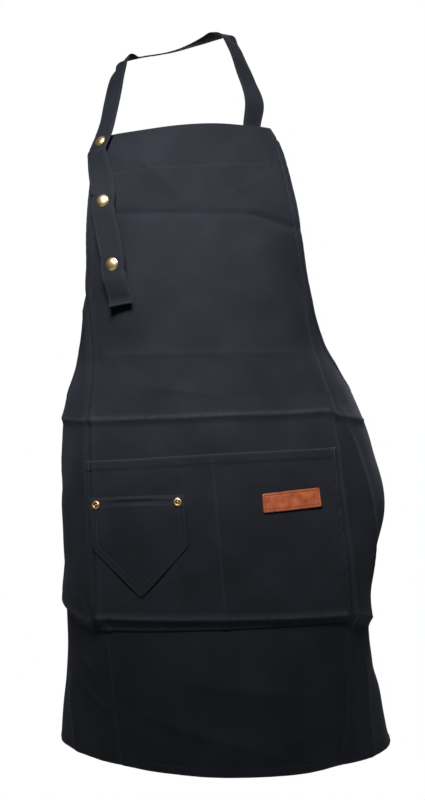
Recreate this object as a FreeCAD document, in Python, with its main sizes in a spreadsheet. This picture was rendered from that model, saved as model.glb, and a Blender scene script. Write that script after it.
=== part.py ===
import FreeCAD, Part
import math
import os
import Sketcher
from FreeCAD import Placement, Rotation, Vector

# Bib apron in the shape it takes on a wearer, hung by its strap round the neck.
# Frame: +Z up, -Y to the front, +X to the wearer's left (the viewer's right).
# The origin is the middle of the neck, level with the strap behind it.
#
# Every cloth piece lies on one draped surface.  A place on it has two flat-cloth coordinates:
# s, measured sideways from the centre front, and v, measured down from the bib's top edge.
# "lift" is how far a point stands off the panel's outer face.

SIZES = [
    ("apron_length", 750.0, "bib top edge to bottom hem, along the cloth"),
    ("skirt_half_width", 340.0, "centre front to side edge"),
    ("bib_half_width", 125.0, "centre front to the bib's top corner"),
    ("armhole_depth", 325.0, "bib top edge to the side corner"),
    ("cloth_thickness", 0.8, "canvas twill, one layer"),
    ("layer_gap", 0.5, "air between two layers that lie on each other"),
    ("facing_depth", 50.0, "band behind the bib's top edge"),
    ("facing_inset", 3.0, "facing stays inside the bib's side edges"),
    ("pocket_drop", 388.0, "bib top edge to the wide pocket's mouth"),
    ("pocket_depth", 193.0, "wide pocket, mouth to bottom"),
    ("pocket_half_width", 150.0, "wide pocket, centre to side seam"),
    ("pocket_ease", 9.0, "how far the wide pocket's mouth stands open"),
    ("patch_drop", 42.0, "wide pocket's mouth to the patch pocket's mouth"),
    ("patch_inset", 4.0, "wide pocket's side seam to the patch pocket's side"),
    ("patch_width", 112.0, "patch pocket across its mouth"),
    ("patch_side", 57.0, "patch pocket's straight side"),
    ("patch_depth", 112.0, "patch pocket, mouth to point"),
    ("patch_ease", 7.6, "how far the patch pocket's mouth stands open"),
    ("label_width", 72.0, "leather label"),
    ("label_height", 21.0, "leather label"),
    ("label_thickness", 1.8, "leather label"),
    ("label_offset", 50.0, "centre front to the label's near end"),
    ("label_drop", 46.0, "wide pocket's mouth to the label's upper edge"),
    ("label_rise", 3.0, "how far the label's far end stands above its near end"),
    ("strap_width", 30.0, "neck strap"),
    ("strap_thickness", 1.8, "neck strap, two layers"),
    ("strap_set_in", 20.0, "bib corner to the sewn strap's outer edge"),
    ("strap_overlap", 46.0, "sewn length behind the bib"),
    ("strap_tail_length", 187.0, "from below the first snap to the free end"),
    ("tail_stand_off", 9.0, "how far the tail's free end swings clear of the bib"),
    ("hinge_gap", 1.6, "gap between strap pieces that move on each other"),
    ("snap_drop", 11.0, "bib top edge to the snap's centre"),
    ("snap_pitch", 75.0, "snap to snap along the strap"),
    ("cap_radius", 7.6, "domed snap cap"),
    ("cap_rim", 0.8, "rolled rim of the cap"),
    ("cap_dome", 2.6, "dome above the rim"),
    ("stem_radius", 1.9, "cap's hollow stem"),
    ("stem_bore", 1.2, "hole in the stem"),
    ("socket_radius", 6.4, "snap socket"),
    ("socket_height", 3.6, "snap socket"),
    ("socket_floor", 1.0, "socket floor that the stem is riveted on"),
    ("socket_cavity", 4.3, "radius of the hollow that takes the stud"),
    ("spring_wire", 0.35, "radius of the ring spring's wire"),
    ("spring_gap", 40.0, "open part of the ring spring, in degrees"),
    ("stud_radius", 3.4, "stud's ball"),
    ("stud_neck", 2.9, "stud's neck"),
    ("stud_flange", 5.6, "radius of the stud's flange"),
    ("flange_thickness", 0.7, "stud flange and back cap"),
    ("snap_clearance", 0.25, "air between two parts of a closed snap"),
    ("seat_gap", 0.35, "air between a flat metal part and the curved cloth it sits on"),
    ("hole_clearance", 0.1, "air round a stem or shank in its punched hole"),
    ("back_cap_radius", 5.8, "eyelet cap behind the bib"),
    ("rivet_radius", 4.9, "rivet head"),
    ("rivet_height", 1.8, "rivet head"),
    ("rivet_dimple", 2.2, "radius of the dimple in the rivet head"),
    ("rivet_shank", 1.4, "radius of the rivet's shank"),
    ("rivet_edge", 8.0, "pocket edge to rivet centre"),
    ("burr_radius", 4.6, "washer behind the cloth"),
    ("burr_thickness", 0.9, "washer behind the cloth"),
    ("tie_width", 24.0, "waist tie"),
    ("tie_thickness", 1.6, "waist tie, folded and sewn"),
    ("tie_overlap", 22.0, "tie sewn behind the side edge"),
    ("tie_tail_length", 330.0, "tie's free end, below the knot"),
    ("loop_length", 108.0, "bow loop, knot to tip"),
    ("knot_radius", 11.0, "knot of the bow"),
]

# The wearer's form under the cloth: one line for each height v below the bib's top edge.
# front: how far the centre front stands before the neck; turn: how far the cloth has turned away
# from the front at the pocket seams; crease: the extra turn in the pressed crease there; wing:
# the turn from the crease to the side edge (left and right); slope: how much lower the wearer's
# left side hangs.  Lengths in mm, angles in degrees.
FORM = [
    # v,  front, turn, crease l, crease r, wing l, wing r, slope
    (0, 97, 74, 0, 0, 59, 60, 0.0),
    (35, 105, 52, 0, 0, 59, 60, 0.0),
    (100, 116, 34, 4, 3, 58, 59, 0.0),
    (200, 133, 49, 7, 4, 48, 50, 0.0),
    (265, 140, 52, 11, 5, 51, 49, 0.0),
    (320, 148, 42, 16, 8, 60, 52, 0.4),
    (390, 161, 34, 21, 9, 63, 53, 0.8),
    (460, 168, 29, 25, 10, 68, 56, 1.3),
    (540, 170, 26, 27, 20, 64, 72, 2.0),
    (600, 168, 33, 20, 16, 60, 76, 2.4),
    (680, 160, 45, 2, -3, 53, 61, 3.6),
    (750, 152, 56, -12, -19, 46, 51, 4.8),
]
CREASE_PLACE = 150.0     # s of the pressed creases down both sides
CREASE_HALF = 8.0        # half the width over which a crease turns
WING_SPAN = 190.0        # cloth from the crease to the side edge of the form
BIB_BELOW_NECK = 105.0   # neck strap's level to the bib's top edge
ARMHOLE_POWER = 3.0      # how late the armhole curve swings out to the side
HEIGHT_STEP = 5.0        # step used to add up the height along the centre front

# Strap round the neck, from above the bib's left corner (wearer's right) to the back of the
# neck: place, and the direction from the strap's middle to its outer edge.
STRAP_LEFT = [
    ((-90, -46, -84), (-0.62, 0.60, -0.20)),
    ((-83, -33, -56), (-0.66, 0.52, -0.36)),
    ((-76, -17, -29), (-0.66, 0.30, -0.62)),
    ((-68, 0, -9), (-0.66, 0.06, -0.72)),
    ((-60, 20, -1), (-0.96, 0.05, -0.25)),
    ((-44, 42, 7), (-0.72, 0.66, 0.05)),
    ((-23, 55, 12), (-0.38, 0.90, 0.15)),
]
STRAP_BACK = ((0, 59, 16), (0.0, 0.98, 0.17))
STRAP_RIGHT = [
    ((24, 55, 22), (0.38, 0.90, 0.15)),
    ((44, 42, 26), (0.72, 0.66, 0.05)),
    ((57, 20, 25), (0.96, 0.05, -0.20)),
    ((64, 1, 13), (0.70, 0.06, -0.66)),
    ((71, -18, -11), (0.68, 0.30, -0.60)),
    ((78, -37, -42), (0.70, 0.46, -0.34)),
    ((84, -52, -74), (0.74, 0.55, -0.16)),
]
HINGE_POINT = 4          # index in STRAP_LEFT where the strap lifts off the shoulder
BOW_DROP = 18.0          # armhole corner to the bow's knot, downwards
BOW_BACK = 128.0         # neck middle to the knot, backwards
TAIL_APART = 5.0         # gap between the two hanging ends, so that they swing past each other
TAIL_BELOW = 12.0        # lower edge of the ties at the knot to the top of the hanging ends


def blend_between(stations, column, v):
    """Value of one column of FORM at height v: a smooth curve through all its lines."""
    places = [row[0] for row in stations]
    values = [row[column] for row in stations]
    v = min(max(v, places[0]), places[-1])
    last = len(places) - 2
    i = min(max(k for k in range(len(places)) if places[k] <= v), last)
    span = places[i + 1] - places[i]

    def slope(k):
        low, high = max(k - 1, 0), min(k + 1, len(places) - 1)
        return (values[high] - values[low]) / (places[high] - places[low])

    t = (v - places[i]) / span
    rise = values[i] + (values[i + 1] - values[i]) * t * t * (3 - 2 * t)
    return rise + span * t * (1 - t) * (slope(i) * (1 - t) - slope(i + 1) * t)


class Length:
    """A size and the sheet expression that gives it, so that geometry and binding stay the same."""

    def __init__(self, value, text):
        self.value = float(value)
        self.text = text

    def join(self, other, sign, value):
        other_text = other.text if isinstance(other, Length) else repr(float(other))
        return Length(value, "(%s %s %s)" % (self.text, sign, other_text))

    def __add__(self, other):
        return self.join(other, "+", self.value + number(other))

    def __sub__(self, other):
        return self.join(other, "-", self.value - number(other))

    def __mul__(self, other):
        return self.join(other, "*", self.value * number(other))


def number(length):
    """Plain number of a Length or of a number."""
    return length.value if isinstance(length, Length) else float(length)


doc = FreeCAD.newDocument("bib_apron")
sheet = doc.addObject("Spreadsheet::Sheet", "sizes")
for line, (alias, amount, meaning) in enumerate(SIZES, start=1):
    sheet.set("A%d" % line, alias)
    sheet.set("B%d" % line, str(amount))
    sheet.set("C%d" % line, meaning)
    sheet.setAlias("B%d" % line, alias)
doc.recompute()
SIZE = {alias: Length(sheet.get(alias), "sizes." + alias) for alias, amount, meaning in SIZES}


def mm(alias):
    """A size of the sheet as a plain number."""
    return SIZE[alias].value


class Drape:
    """The draped surface: from flat-cloth coordinates (s, v) and lift to a place in space."""

    def __init__(self):
        self.heights = [0.0]
        steps = int(mm("apron_length") * 1.05 / HEIGHT_STEP) + 2
        for k in range(steps):
            advance = self.front((k + 1) * HEIGHT_STEP) - self.front(k * HEIGHT_STEP)
            self.heights.append(self.heights[-1] - math.sqrt(HEIGHT_STEP ** 2 - advance ** 2))

    def front(self, v):
        return -blend_between(FORM, 1, v)

    def height(self, v):
        place = max(v, 0.0) / HEIGHT_STEP
        k = min(int(place), len(self.heights) - 2)
        low, high = self.heights[k], self.heights[k + 1]
        return low + (high - low) * (place - k) - BIB_BELOW_NECK

    def turn(self, s, v):
        """How far the cloth has turned away from the front at s, in radians, always positive."""
        side = 0 if s < 0 else 1
        reach = abs(s)
        degrees = blend_between(FORM, 2, v) * min(reach, CREASE_PLACE) / CREASE_PLACE
        share = (reach - CREASE_PLACE + CREASE_HALF) / (2 * CREASE_HALF)
        degrees += blend_between(FORM, 3 + side, v) * min(max(share, 0.0), 1.0)
        degrees += blend_between(FORM, 5 + side, v) * max(reach - CREASE_PLACE, 0.0) / WING_SPAN
        return math.radians(degrees)

    def row(self, places, v, lifts):
        """Points of one level row at height v, for rising places s and their lifts."""
        points = []
        pitch = 4.0
        for s, lift in zip(places, lifts):
            steps = max(int(abs(s) / pitch), 1)
            width = s / steps
            x = y = 0.0
            for k in range(steps):
                angle = self.turn((k + 0.5) * width, v)
                x += math.cos(angle) * width
                y += math.sin(angle) * abs(width)
            angle = self.turn(s, v)
            x += lift * math.copysign(math.sin(angle), s)
            y += self.front(v) - lift * math.cos(angle)
            fall = x * math.tan(math.radians(blend_between(FORM, 7, v)))
            points.append(Vector(x, y, self.height(v) - fall))
        return points

    def point(self, s, v, lift=0.0):
        return self.row([s], v, [lift])[0]

    def raised(self, s, v, lift):
        """Place at a true distance from the panel's outer face."""
        return self.point(s, v) + self.frame(s, v)[2] * lift

    def hollow(self, s, v, width):
        """How far the cloth bows out of a straight line of some width across it."""
        ends = self.point(s - width / 2, v) + self.point(s + width / 2, v)
        return (ends * 0.5 - self.point(s, v)).Length

    def frame(self, s, v):
        """Unit directions at a place: sideways along the cloth, down along it, and outward."""
        step = 2.0
        sideways = self.point(s + step, v) - self.point(s - step, v)
        down = self.point(s, v + step) - self.point(s, max(v - step, 0.0))
        sideways.normalize()
        outward = down.cross(sideways)
        outward.normalize()
        return sideways, sideways.cross(outward), outward


drape = Drape()


def solid_from_rows(rows):
    """Closed solid through a stack of flat rings, each a list of edges laid end to end."""
    wires = [Part.Wire(edges) for edges in rows]
    solid = Part.makeLoft(wires, True, True)
    if solid.Volume < 0:
        solid.reverse()
    return solid


def layer_ring(inner, outer):
    """Ring of one row of cloth: a curve through its inner points and one through its outer ones."""
    def curve(points):
        spline = Part.BSplineCurve()
        spline.interpolate(points)
        return spline.toShape()

    return [curve(outer), Part.makeLine(outer[-1], inner[-1]), curve(inner[::-1]),
            Part.makeLine(inner[0], outer[0])]


def layer(heights, edges, under, thickness, columns):
    """Layer of cloth between side edges(v), whose underside stands at under(s, v)."""
    rings = []
    for v in heights:
        low, high = edges(v)
        places = [low + (high - low) * k / columns for k in range(columns + 1)]
        lifts = [under(s, v) for s in places]
        outer = drape.row(places, v, [lift + thickness for lift in lifts])
        rings.append(layer_ring(drape.row(places, v, lifts), outer))
    return solid_from_rows(rings)


def spread(low, high, pitch):
    """Even steps from low to high, each no longer than pitch."""
    count = max(int(math.ceil((high - low) / pitch)), 1)
    return [low + (high - low) * k / count for k in range(count + 1)]


def band(stations, thickness, width):
    """Flat band along stations of (middle, direction to its edge, direction to its face)."""
    rings = []
    for middle, edgeward, faceward in stations:
        side = edgeward * (width / 2)
        up = faceward * (thickness / 2)
        corners = [middle - side - up, middle + side - up, middle + side + up, middle - side + up]
        rings.append([Part.makeLine(corners[k], corners[(k + 1) % 4]) for k in range(4)])
    return solid_from_rows(rings)


def smooth_route(knots, per_span):
    """Stations along a smooth curve through knots of (place, edge direction)."""
    def mix(a, b, c, d, t):
        ends = b * (1 + 2 * t) * (1 - t) ** 2 + c * (3 - 2 * t) * t * t
        return ends + (c - a) * (0.5 * t * (1 - t) ** 2) - (d - b) * (0.5 * t * t * (1 - t))

    places = [Vector(*knot[0]) for knot in knots]
    edges = [Vector(*knot[1]) for knot in knots]
    track = []
    for i in range(len(knots) - 1):
        near = [max(i - 1, 0), i, i + 1, min(i + 2, len(knots) - 1)]
        for k in range(per_span + (i == len(knots) - 2)):
            t = k / per_span
            track.append((mix(*[places[n] for n in near], t), mix(*[edges[n] for n in near], t)))
    stations = []
    for k, (middle, edge) in enumerate(track):
        along = track[min(k + 1, len(track) - 1)][0] - track[max(k - 1, 0)][0]
        along.normalize()
        edgeward = edge - along * edge.dot(along)
        edgeward.normalize()
        stations.append((middle, edgeward, along.cross(edgeward)))
    return stations


parts = []


def keep(feature, label):
    """Give a finished sub-part its name and put it on the list of pieces to write."""
    feature.Label = label
    parts.append(feature)
    return feature


def punched(shape, holes):
    """Cloth with a round hole for each (place, outward, radius)."""
    reach = 25.0
    for place, outward, radius in holes:
        shape = shape.cut(Part.makeCylinder(radius, 2 * reach, place - outward * reach, outward))
    return shape


def cloth(label, shape, holes=()):
    """Sub-part of cloth or leather whose shape comes from the draped surface."""
    feature = doc.addObject("Part::Feature", label)
    feature.Shape = punched(shape, holes)
    feature.Placement = Placement()
    return keep(feature, label)


# ---- cloth on the drape ---------------------------------------------------------------------

ROW_PITCH = 25.0         # height between two rows of a cloth solid
BIB_PITCH = 12.0         # the same on the bib, which bends more


def armhole_edge(v):
    """Half width of the panel at height v: the armhole curve, then the straight side."""
    if v >= mm("armhole_depth"):
        return mm("skirt_half_width")
    share = 1 - (v / mm("armhole_depth")) ** ARMHOLE_POWER
    cut_away = mm("skirt_half_width") - mm("bib_half_width")
    return mm("skirt_half_width") - cut_away * math.sqrt(share)


def panel_heights():
    """Rows of the panel: even down the bib, closer where the armhole swings out, then even."""
    depth = mm("armhole_depth")
    swing = 0.75         # share of the armhole's depth where it starts to swing out fast
    start = math.asin(math.sqrt(swing ** ARMHOLE_POWER))
    turns = 6
    rows = spread(0.0, depth * swing, BIB_PITCH)
    for k in range(1, turns):
        angle = start + (math.pi / 2 - start) * k / turns
        rows.append(depth * math.sin(angle) ** (2 / ARMHOLE_POWER))
    return rows + spread(depth, mm("apron_length"), ROW_PITCH)


thickness = mm("cloth_thickness")
gap = mm("layer_gap")
stem_hole = mm("stem_radius") + mm("hole_clearance")
shank_hole = mm("rivet_shank") + mm("hole_clearance")
snap_s = mm("strap_width") / 2 - mm("bib_half_width")
snap_side, snap_down, snap_out = drape.frame(snap_s, mm("snap_drop"))
snap_base = drape.point(snap_s, mm("snap_drop"))
snap_hole = (snap_base, snap_out, stem_hole)

patch_top = mm("pocket_drop") + mm("patch_drop")
patch_left = mm("patch_inset") - mm("pocket_half_width")
patch_middle = patch_left + mm("patch_width") / 2
rivet_v = patch_top + mm("rivet_edge")
rivet_places = {"left": patch_left + mm("rivet_edge"),
                "right": patch_left + mm("patch_width") - mm("rivet_edge")}
rivet_holes = [(drape.point(s, rivet_v), drape.frame(s, rivet_v)[2], shank_hole)
               for s in rivet_places.values()]

cloth("body_panel", layer(panel_heights(), lambda v: (-armhole_edge(v), armhole_edge(v)),
                          lambda s, v: -thickness, thickness, 44), [snap_hole] + rivet_holes)

facing_under = -2 * thickness - gap
cloth("bib_facing", layer(
    spread(1.0, mm("facing_depth"), BIB_PITCH),
    lambda v: (mm("facing_inset") - armhole_edge(v), armhole_edge(v) - mm("facing_inset")),
    lambda s, v: facing_under, thickness, 36), [snap_hole])

pocket_bottom = mm("pocket_drop") + mm("pocket_depth")


rivet_zone = mm("rivet_edge") + mm("rivet_radius") + 1.5     # cloth lies flat round the rivets
pocket_reach = mm("pocket_half_width") - mm("patch_inset") - rivet_zone


def ease(place, reach):
    """1 in the middle of an opening, falling smoothly to 0 at its seams."""
    return max(1 - (place / reach) ** 2, 0.0) ** 2


def deepen(below, depth):
    """1 at a pocket's mouth, falling to 0 at its bottom."""
    return max(1 - (below / depth) ** 2, 0.0)


def pocket_under(s, v):
    """Underside of the wide pocket: sewn flat at its sides and bottom, open at its mouth."""
    downward = deepen(v - mm("pocket_drop"), mm("pocket_depth"))
    return gap + mm("pocket_ease") * ease(s, pocket_reach) * downward


def on_pocket(s, v):
    """Underside of what is sewn on the wide pocket."""
    return pocket_under(s, v) + thickness + gap


cloth("front_pocket", layer(
    spread(mm("pocket_drop"), pocket_bottom, ROW_PITCH),
    lambda v: (-mm("pocket_half_width"), mm("pocket_half_width")),
    pocket_under, thickness, 30), rivet_holes)


def patch_edges(v):
    """Side edges of the patch pocket: straight, then drawn in to the point."""
    tip_half = 1.5
    half = mm("patch_width") / 2
    below = v - patch_top - mm("patch_side")
    if below > 0:
        half -= (half - tip_half) * below / (mm("patch_depth") - mm("patch_side"))
    return patch_middle - half, patch_middle + half


def patch_under(s, v):
    sideways = ease(s - patch_middle, mm("patch_width") / 2 - rivet_zone)
    return on_pocket(s, v) + mm("patch_ease") * sideways * deepen(v - patch_top, mm("patch_depth"))


patch_rows = spread(patch_top, patch_top + mm("patch_side"), ROW_PITCH)
patch_rows += spread(patch_top + mm("patch_side"), patch_top + mm("patch_depth"), ROW_PITCH)[1:]
cloth("patch_pocket", layer(patch_rows, patch_edges, patch_under, thickness, 16), rivet_holes)


def label_shape():
    """Leather label: upright strips from end to end, the far end a little higher."""
    rings = []
    for s in spread(mm("label_offset"), mm("label_offset") + mm("label_width"), 9.0):
        share = (s - mm("label_offset")) / mm("label_width")
        top = mm("pocket_drop") + mm("label_drop") - mm("label_rise") * share
        bottom = top + mm("label_height")
        outward = drape.frame(s, (top + bottom) / 2)[2]
        under = max(on_pocket(s, top), on_pocket(s, bottom))
        corners = [drape.point(s, top, under), drape.point(s, bottom, under)]
        raised = [corner + outward * mm("label_thickness") for corner in corners]
        ring = [corners[0], corners[1], raised[1], raised[0]]
        rings.append([Part.makeLine(ring[k], ring[(k + 1) % 4]) for k in range(4)])
    return solid_from_rows(rings)


cloth("leather_label", label_shape())

# ---- neck strap -----------------------------------------------------------------------------

sewn_s = mm("bib_half_width") - mm("strap_set_in") - mm("strap_width") / 2
snap_stack = mm("seat_gap") + mm("flange_thickness") + mm("snap_clearance") + mm("socket_height")
strap_lift = snap_stack + mm("strap_thickness") / 2
sewn_lift = facing_under - gap - mm("seat_gap") - mm("strap_thickness") / 2
sewn_lift -= drape.hollow(sewn_s, mm("facing_depth") / 2, mm("strap_width") * 1.3)
BAND_STEPS = 3           # stations for each span of a route
snap_reach = mm("cap_radius") + 2.0
snap_middle = snap_base + snap_out * strap_lift


def flat_knots(middle, down, sideways, reach):
    """Route knots that keep the strap flat and straight under a snap."""
    edge = tuple(sideways * -1)
    return [(tuple(middle + down * (reach * step)), edge) for step in (1, 0, -1)]


def sewn_knot(v):
    sideways = drape.frame(sewn_s, v)[0]
    return tuple(drape.raised(sewn_s, v, sewn_lift)), tuple(sideways)


def end_pulled(stations, at_start, along, amount):
    """Stations with one end moved along the strap to leave room for the next piece."""
    end = 0 if at_start else -1
    middle, edgeward, faceward = stations[end]
    stations[end] = (middle + along * amount, edgeward, faceward)
    return stations


half_gap = mm("hinge_gap") / 2
strap_knots = flat_knots(snap_middle, snap_down, snap_side, snap_reach)
hinge_index = (len(strap_knots) + HINGE_POINT) * BAND_STEPS
strap_knots += STRAP_LEFT + [STRAP_BACK] + STRAP_RIGHT
strap_knots += [sewn_knot(v) for v in (2.0, mm("strap_overlap"))]
strap_route = smooth_route(strap_knots, BAND_STEPS)
hinge_along = strap_route[hinge_index + 1][0] - strap_route[hinge_index - 1][0]
hinge_along.normalize()
drop_route = end_pulled(strap_route[:hinge_index + 1], False, hinge_along, -half_gap)
neck_route = end_pulled(strap_route[hinge_index:], True, hinge_along, half_gap)
cloth("strap_drop", band(drop_route, mm("strap_thickness"), mm("strap_width")),
      [(snap_middle, snap_out, stem_hole)])
cloth("neck_strap", band(neck_route, mm("strap_thickness"), mm("strap_width")))

tail_start = mm("snap_drop") + snap_reach + mm("hinge_gap")
tail_end = tail_start + mm("strap_tail_length")
TAIL_DRIFT = 19.0        # how far the tail's end hangs inward of its start


def tail_place(v):
    """Flat place and lift of the tail's middle at height v."""
    share = (v - tail_start) / (tail_end - tail_start)
    return snap_s + TAIL_DRIFT * share, strap_lift + mm("tail_stand_off") * share ** 2


def tail_knot(v):
    s, lift = tail_place(v)
    sideways = drape.frame(s, v)[0]
    return tuple(drape.raised(s, v, lift)), tuple(sideways * -1)


tail_pivot = snap_middle + snap_down * (snap_reach + half_gap)
first_edge = snap_middle + snap_down * (snap_reach + mm("hinge_gap"))
square_run = 4.0         # the tail leaves the hinge square on before it drifts inward
tail_knots = [(tuple(first_edge + snap_down * run), tuple(snap_side * -1))
              for run in (0.0, square_run)]
tail_snaps = []
for index in (2, 3):
    v = mm("snap_drop") + mm("snap_pitch") * (index - 1)
    s, lift = tail_place(v)
    middle = drape.raised(s, v, lift)
    sideways, down, outward = drape.frame(s, v)
    tail_knots += flat_knots(middle, down, sideways, snap_reach)[::-1]
    tail_snaps.append((index, middle, outward))
tail_knots += [tail_knot((v + snap_reach + tail_end) / 2), tail_knot(tail_end)]
tail_route = smooth_route(tail_knots, 1)
cloth("strap_tail", band(tail_route, mm("strap_thickness"), mm("strap_width")),
      [(middle, outward, stem_hole) for index, middle, outward in tail_snaps])

# ---- waist ties and bow ---------------------------------------------------------------------

corner_v = mm("armhole_depth") + mm("tie_width") / 2 + 3.0
knot_place = Vector(0, BOW_BACK, drape.height(mm("armhole_depth")) - BOW_DROP)
tie_under = -thickness - gap - mm("tie_thickness") / 2


def tie_route(side):
    """Stations of one waist tie, from behind the side edge round the back to the knot."""
    edge = mm("skirt_half_width") * side
    inside = edge - mm("tie_overlap") * side
    under = tie_under - mm("seat_gap") - drape.hollow(inside, corner_v, 3 * mm("tie_overlap"))
    start = drape.raised(inside, corner_v, under)
    leave = drape.raised(edge, corner_v, under)
    along_side = tuple(drape.frame(edge, corner_v)[1])
    away = leave - start
    away.normalize()
    first = leave + away * 16.0
    end = knot_place + Vector(side * mm("knot_radius") * 0.9, -3.0, 0)
    turn = Vector(first.x * 0.45 + end.x * 0.55 + side * 22.0, end.y - 16.0, first.z * 0.6 + end.z * 0.4)
    near = Vector(end.x + side * 26.0, end.y - 3.0, end.z + (first.z - end.z) * 0.12)
    knots = [(tuple(place), along_side) for place in (start, leave, first)]
    knots += [(tuple(place), (0.0, 0.0, -1.0)) for place in (turn, near, end)]
    return smooth_route(knots, 3)


def bow_loop(side):
    """Flat folded loop of the bow: an upright band out to its tip and back behind itself."""
    drop, half = 34.0, 5.0
    start = knot_place + Vector(side * mm("knot_radius") * 0.8, 3.5, 0)
    out = Vector(side * mm("loop_length"), 0, -drop)
    outline = [(0.0, 1.3), (0.35, half), (0.75, half + 1.0), (0.97, half - 2.0), (1.0, 0.0),
               (0.97, 2.0 - half), (0.75, -half - 1.0), (0.35, -half), (0.0, -1.3)]
    sag = Vector(side * 0.25, 0, -0.97)
    knots = []
    for share, depth in outline:
        dip = Vector(0, 0, -14.0 * share * share)
        knots.append((tuple(start + out * share + dip + Vector(0, depth, 0)), tuple(sag)))
    return smooth_route(knots, 3)


def tail_route_back(side):
    """Hanging end of one tie, from under the knot straight down with a slight wave."""
    beside = mm("tie_width") / 2 + TAIL_APART / 2
    top = knot_place + Vector(side * beside, side * 2.4, -mm("tie_width") / 2 - TAIL_BELOW)
    knots = []
    for share in (0.0, 0.12, 0.3, 0.5, 0.7, 0.86, 1.0):
        wave = 3.0 * math.sin(share * math.pi * 2)
        place = top + Vector(side * 34.0 * share ** 1.3, wave * side, -mm("tie_tail_length") * share)
        knots.append((tuple(place), (side * 0.95, 0.30 * math.cos(share * math.pi * 2), 0.1)))
    return smooth_route(knots, 3)


for side, name in ((-1, "left"), (1, "right")):
    cloth("waist_tie_" + name, band(tie_route(side), mm("tie_thickness"), mm("tie_width")))
    cloth("bow_loop_" + name, band(bow_loop(side), mm("tie_thickness"), mm("tie_width")))
    cloth("tie_tail_" + name, band(tail_route_back(side), mm("tie_thickness"), mm("tie_width")))

# ---- turned hardware ------------------------------------------------------------------------

UPRIGHT_AXIS = -2        # the sketch's own vertical axis
ORIGIN_POINT = (-1, 1)   # the sketch's origin as a constraint partner


def origin_plane(body, role):
    """One of a body's own origin planes or axes."""
    return [item for item in body.Origin.OriginFeatures if item.Role == role][0]


def add_profile(body, name, profile):
    """Closed sketch on the body's XZ plane: corners as (radius, height), each bound to the sheet."""
    sketch = body.newObject("Sketcher::SketchObject", name)
    sketch.AttachmentSupport = [(origin_plane(body, "XZ_Plane"), "")]
    sketch.MapMode = "FlatFace"
    corners = [Vector(number(radius), number(height), 0) for radius, height in profile]
    count = len(corners)
    for k in range(count):
        sketch.addGeometry(Part.LineSegment(corners[k], corners[(k + 1) % count]), False)
    for k in range(count):
        sketch.addConstraint(Sketcher.Constraint("Coincident", k, 2, (k + 1) % count, 1))
    for k, (radius, height) in enumerate(profile):
        bind_distance(sketch, k, "DistanceX", radius, UPRIGHT_AXIS)
        bind_distance(sketch, k, "DistanceY", height, -1)
    return sketch


def bind_distance(sketch, corner, kind, length, axis):
    """Hold one corner of a sketch at a distance from the origin, or on the axis where it is 0."""
    if number(length) == 0:
        sketch.addConstraint(Sketcher.Constraint("PointOnObject", corner, 1, axis))
        return
    place = Sketcher.Constraint(kind, ORIGIN_POINT[0], ORIGIN_POINT[1], corner, 1, number(length))
    index = sketch.addConstraint(place)
    if isinstance(length, Length):
        sketch.setExpression("Constraints[%d]" % index, length.text)


def turned(label, profile, place):
    """Body turned about its own Z axis from a profile, then put in place."""
    body = doc.addObject("PartDesign::Body", label)
    sketch = add_profile(body, label + "_profile", profile)
    revolution = body.newObject("PartDesign::Revolution", label + "_turned")
    revolution.Profile = sketch
    revolution.ReferenceAxis = (sketch, ["V_Axis"])
    revolution.Angle = 360.0
    body.Tip = revolution
    body.Placement = place
    return keep(body, label)


def standing_on(point, outward):
    """Placement whose Z axis points outward from a point."""
    return Placement(point, Rotation(Vector(0, 0, 1), outward))


DOME_STEPS = 6


def dome(radius, rise, base):
    """Corners of a dome from its rim in to its middle, above base."""
    corners = []
    for k in range(DOME_STEPS + 1):
        angle = math.pi / 2 * k / DOME_STEPS
        across = radius * math.cos(angle) if k < DOME_STEPS else 0
        corners.append((across, base + rise * math.sin(angle)))
    return corners


def snap_cap(index, point, outward):
    """Domed cap with its hollow stem: the stem passes the strap and ends in the socket's floor."""
    stem = SIZE["strap_thickness"] + SIZE["socket_floor"]
    top = stem + SIZE["cap_rim"]
    profile = [(SIZE["stem_bore"], 0), (SIZE["stem_radius"], 0), (SIZE["stem_radius"], stem),
               (SIZE["cap_radius"], stem)]
    profile += dome(SIZE["cap_radius"], SIZE["cap_dome"], top)
    profile += [(0, top), (SIZE["stem_bore"], top)]
    base = point - outward * (mm("strap_thickness") / 2 + mm("socket_floor"))
    turned("snap_cap_%d" % index, profile, standing_on(base, outward))


def snap_socket(index, point, outward):
    """Socket behind the strap: a cup, open towards the bib, with a hole for the cap's stem."""
    height = SIZE["socket_height"]
    floor = height - SIZE["socket_floor"]
    rim = SIZE["socket_radius"] - 1.0
    profile = [(SIZE["socket_cavity"], 0), (rim, 0), (SIZE["socket_radius"], 1.0),
               (SIZE["socket_radius"], height), (SIZE["stem_radius"], height),
               (SIZE["stem_radius"], floor), (SIZE["socket_cavity"], floor)]
    base = point - outward * (mm("strap_thickness") / 2 + mm("socket_height"))
    turned("snap_socket_%d" % index, profile, standing_on(base, outward))


def snap_spring(index, point, outward):
    """Open ring of wire inside the socket, which grips the stud's neck."""
    ring_radius = mm("socket_cavity") - mm("spring_wire") - 0.1
    base = point - outward * (mm("strap_thickness") / 2 + mm("socket_height") - 0.9)
    ring = doc.addObject("Part::Torus", "snap_spring_%d" % index)
    ring.setExpression("Radius1", "sizes.socket_cavity - sizes.spring_wire - 0.1")
    ring.setExpression("Radius2", "sizes.spring_wire")
    ring.setExpression("Angle3", "360 - sizes.spring_gap")
    ring.Radius1 = ring_radius
    ring.Placement = standing_on(base, outward)
    keep(ring, "snap_spring_%d" % index)


def strap_snap(index, point, outward):
    snap_cap(index, point, outward)
    snap_socket(index, point, outward)
    snap_spring(index, point, outward)


strap_snap(1, snap_middle, snap_out)
for index, middle, outward in tail_snaps:
    strap_snap(index, middle, outward)

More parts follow.
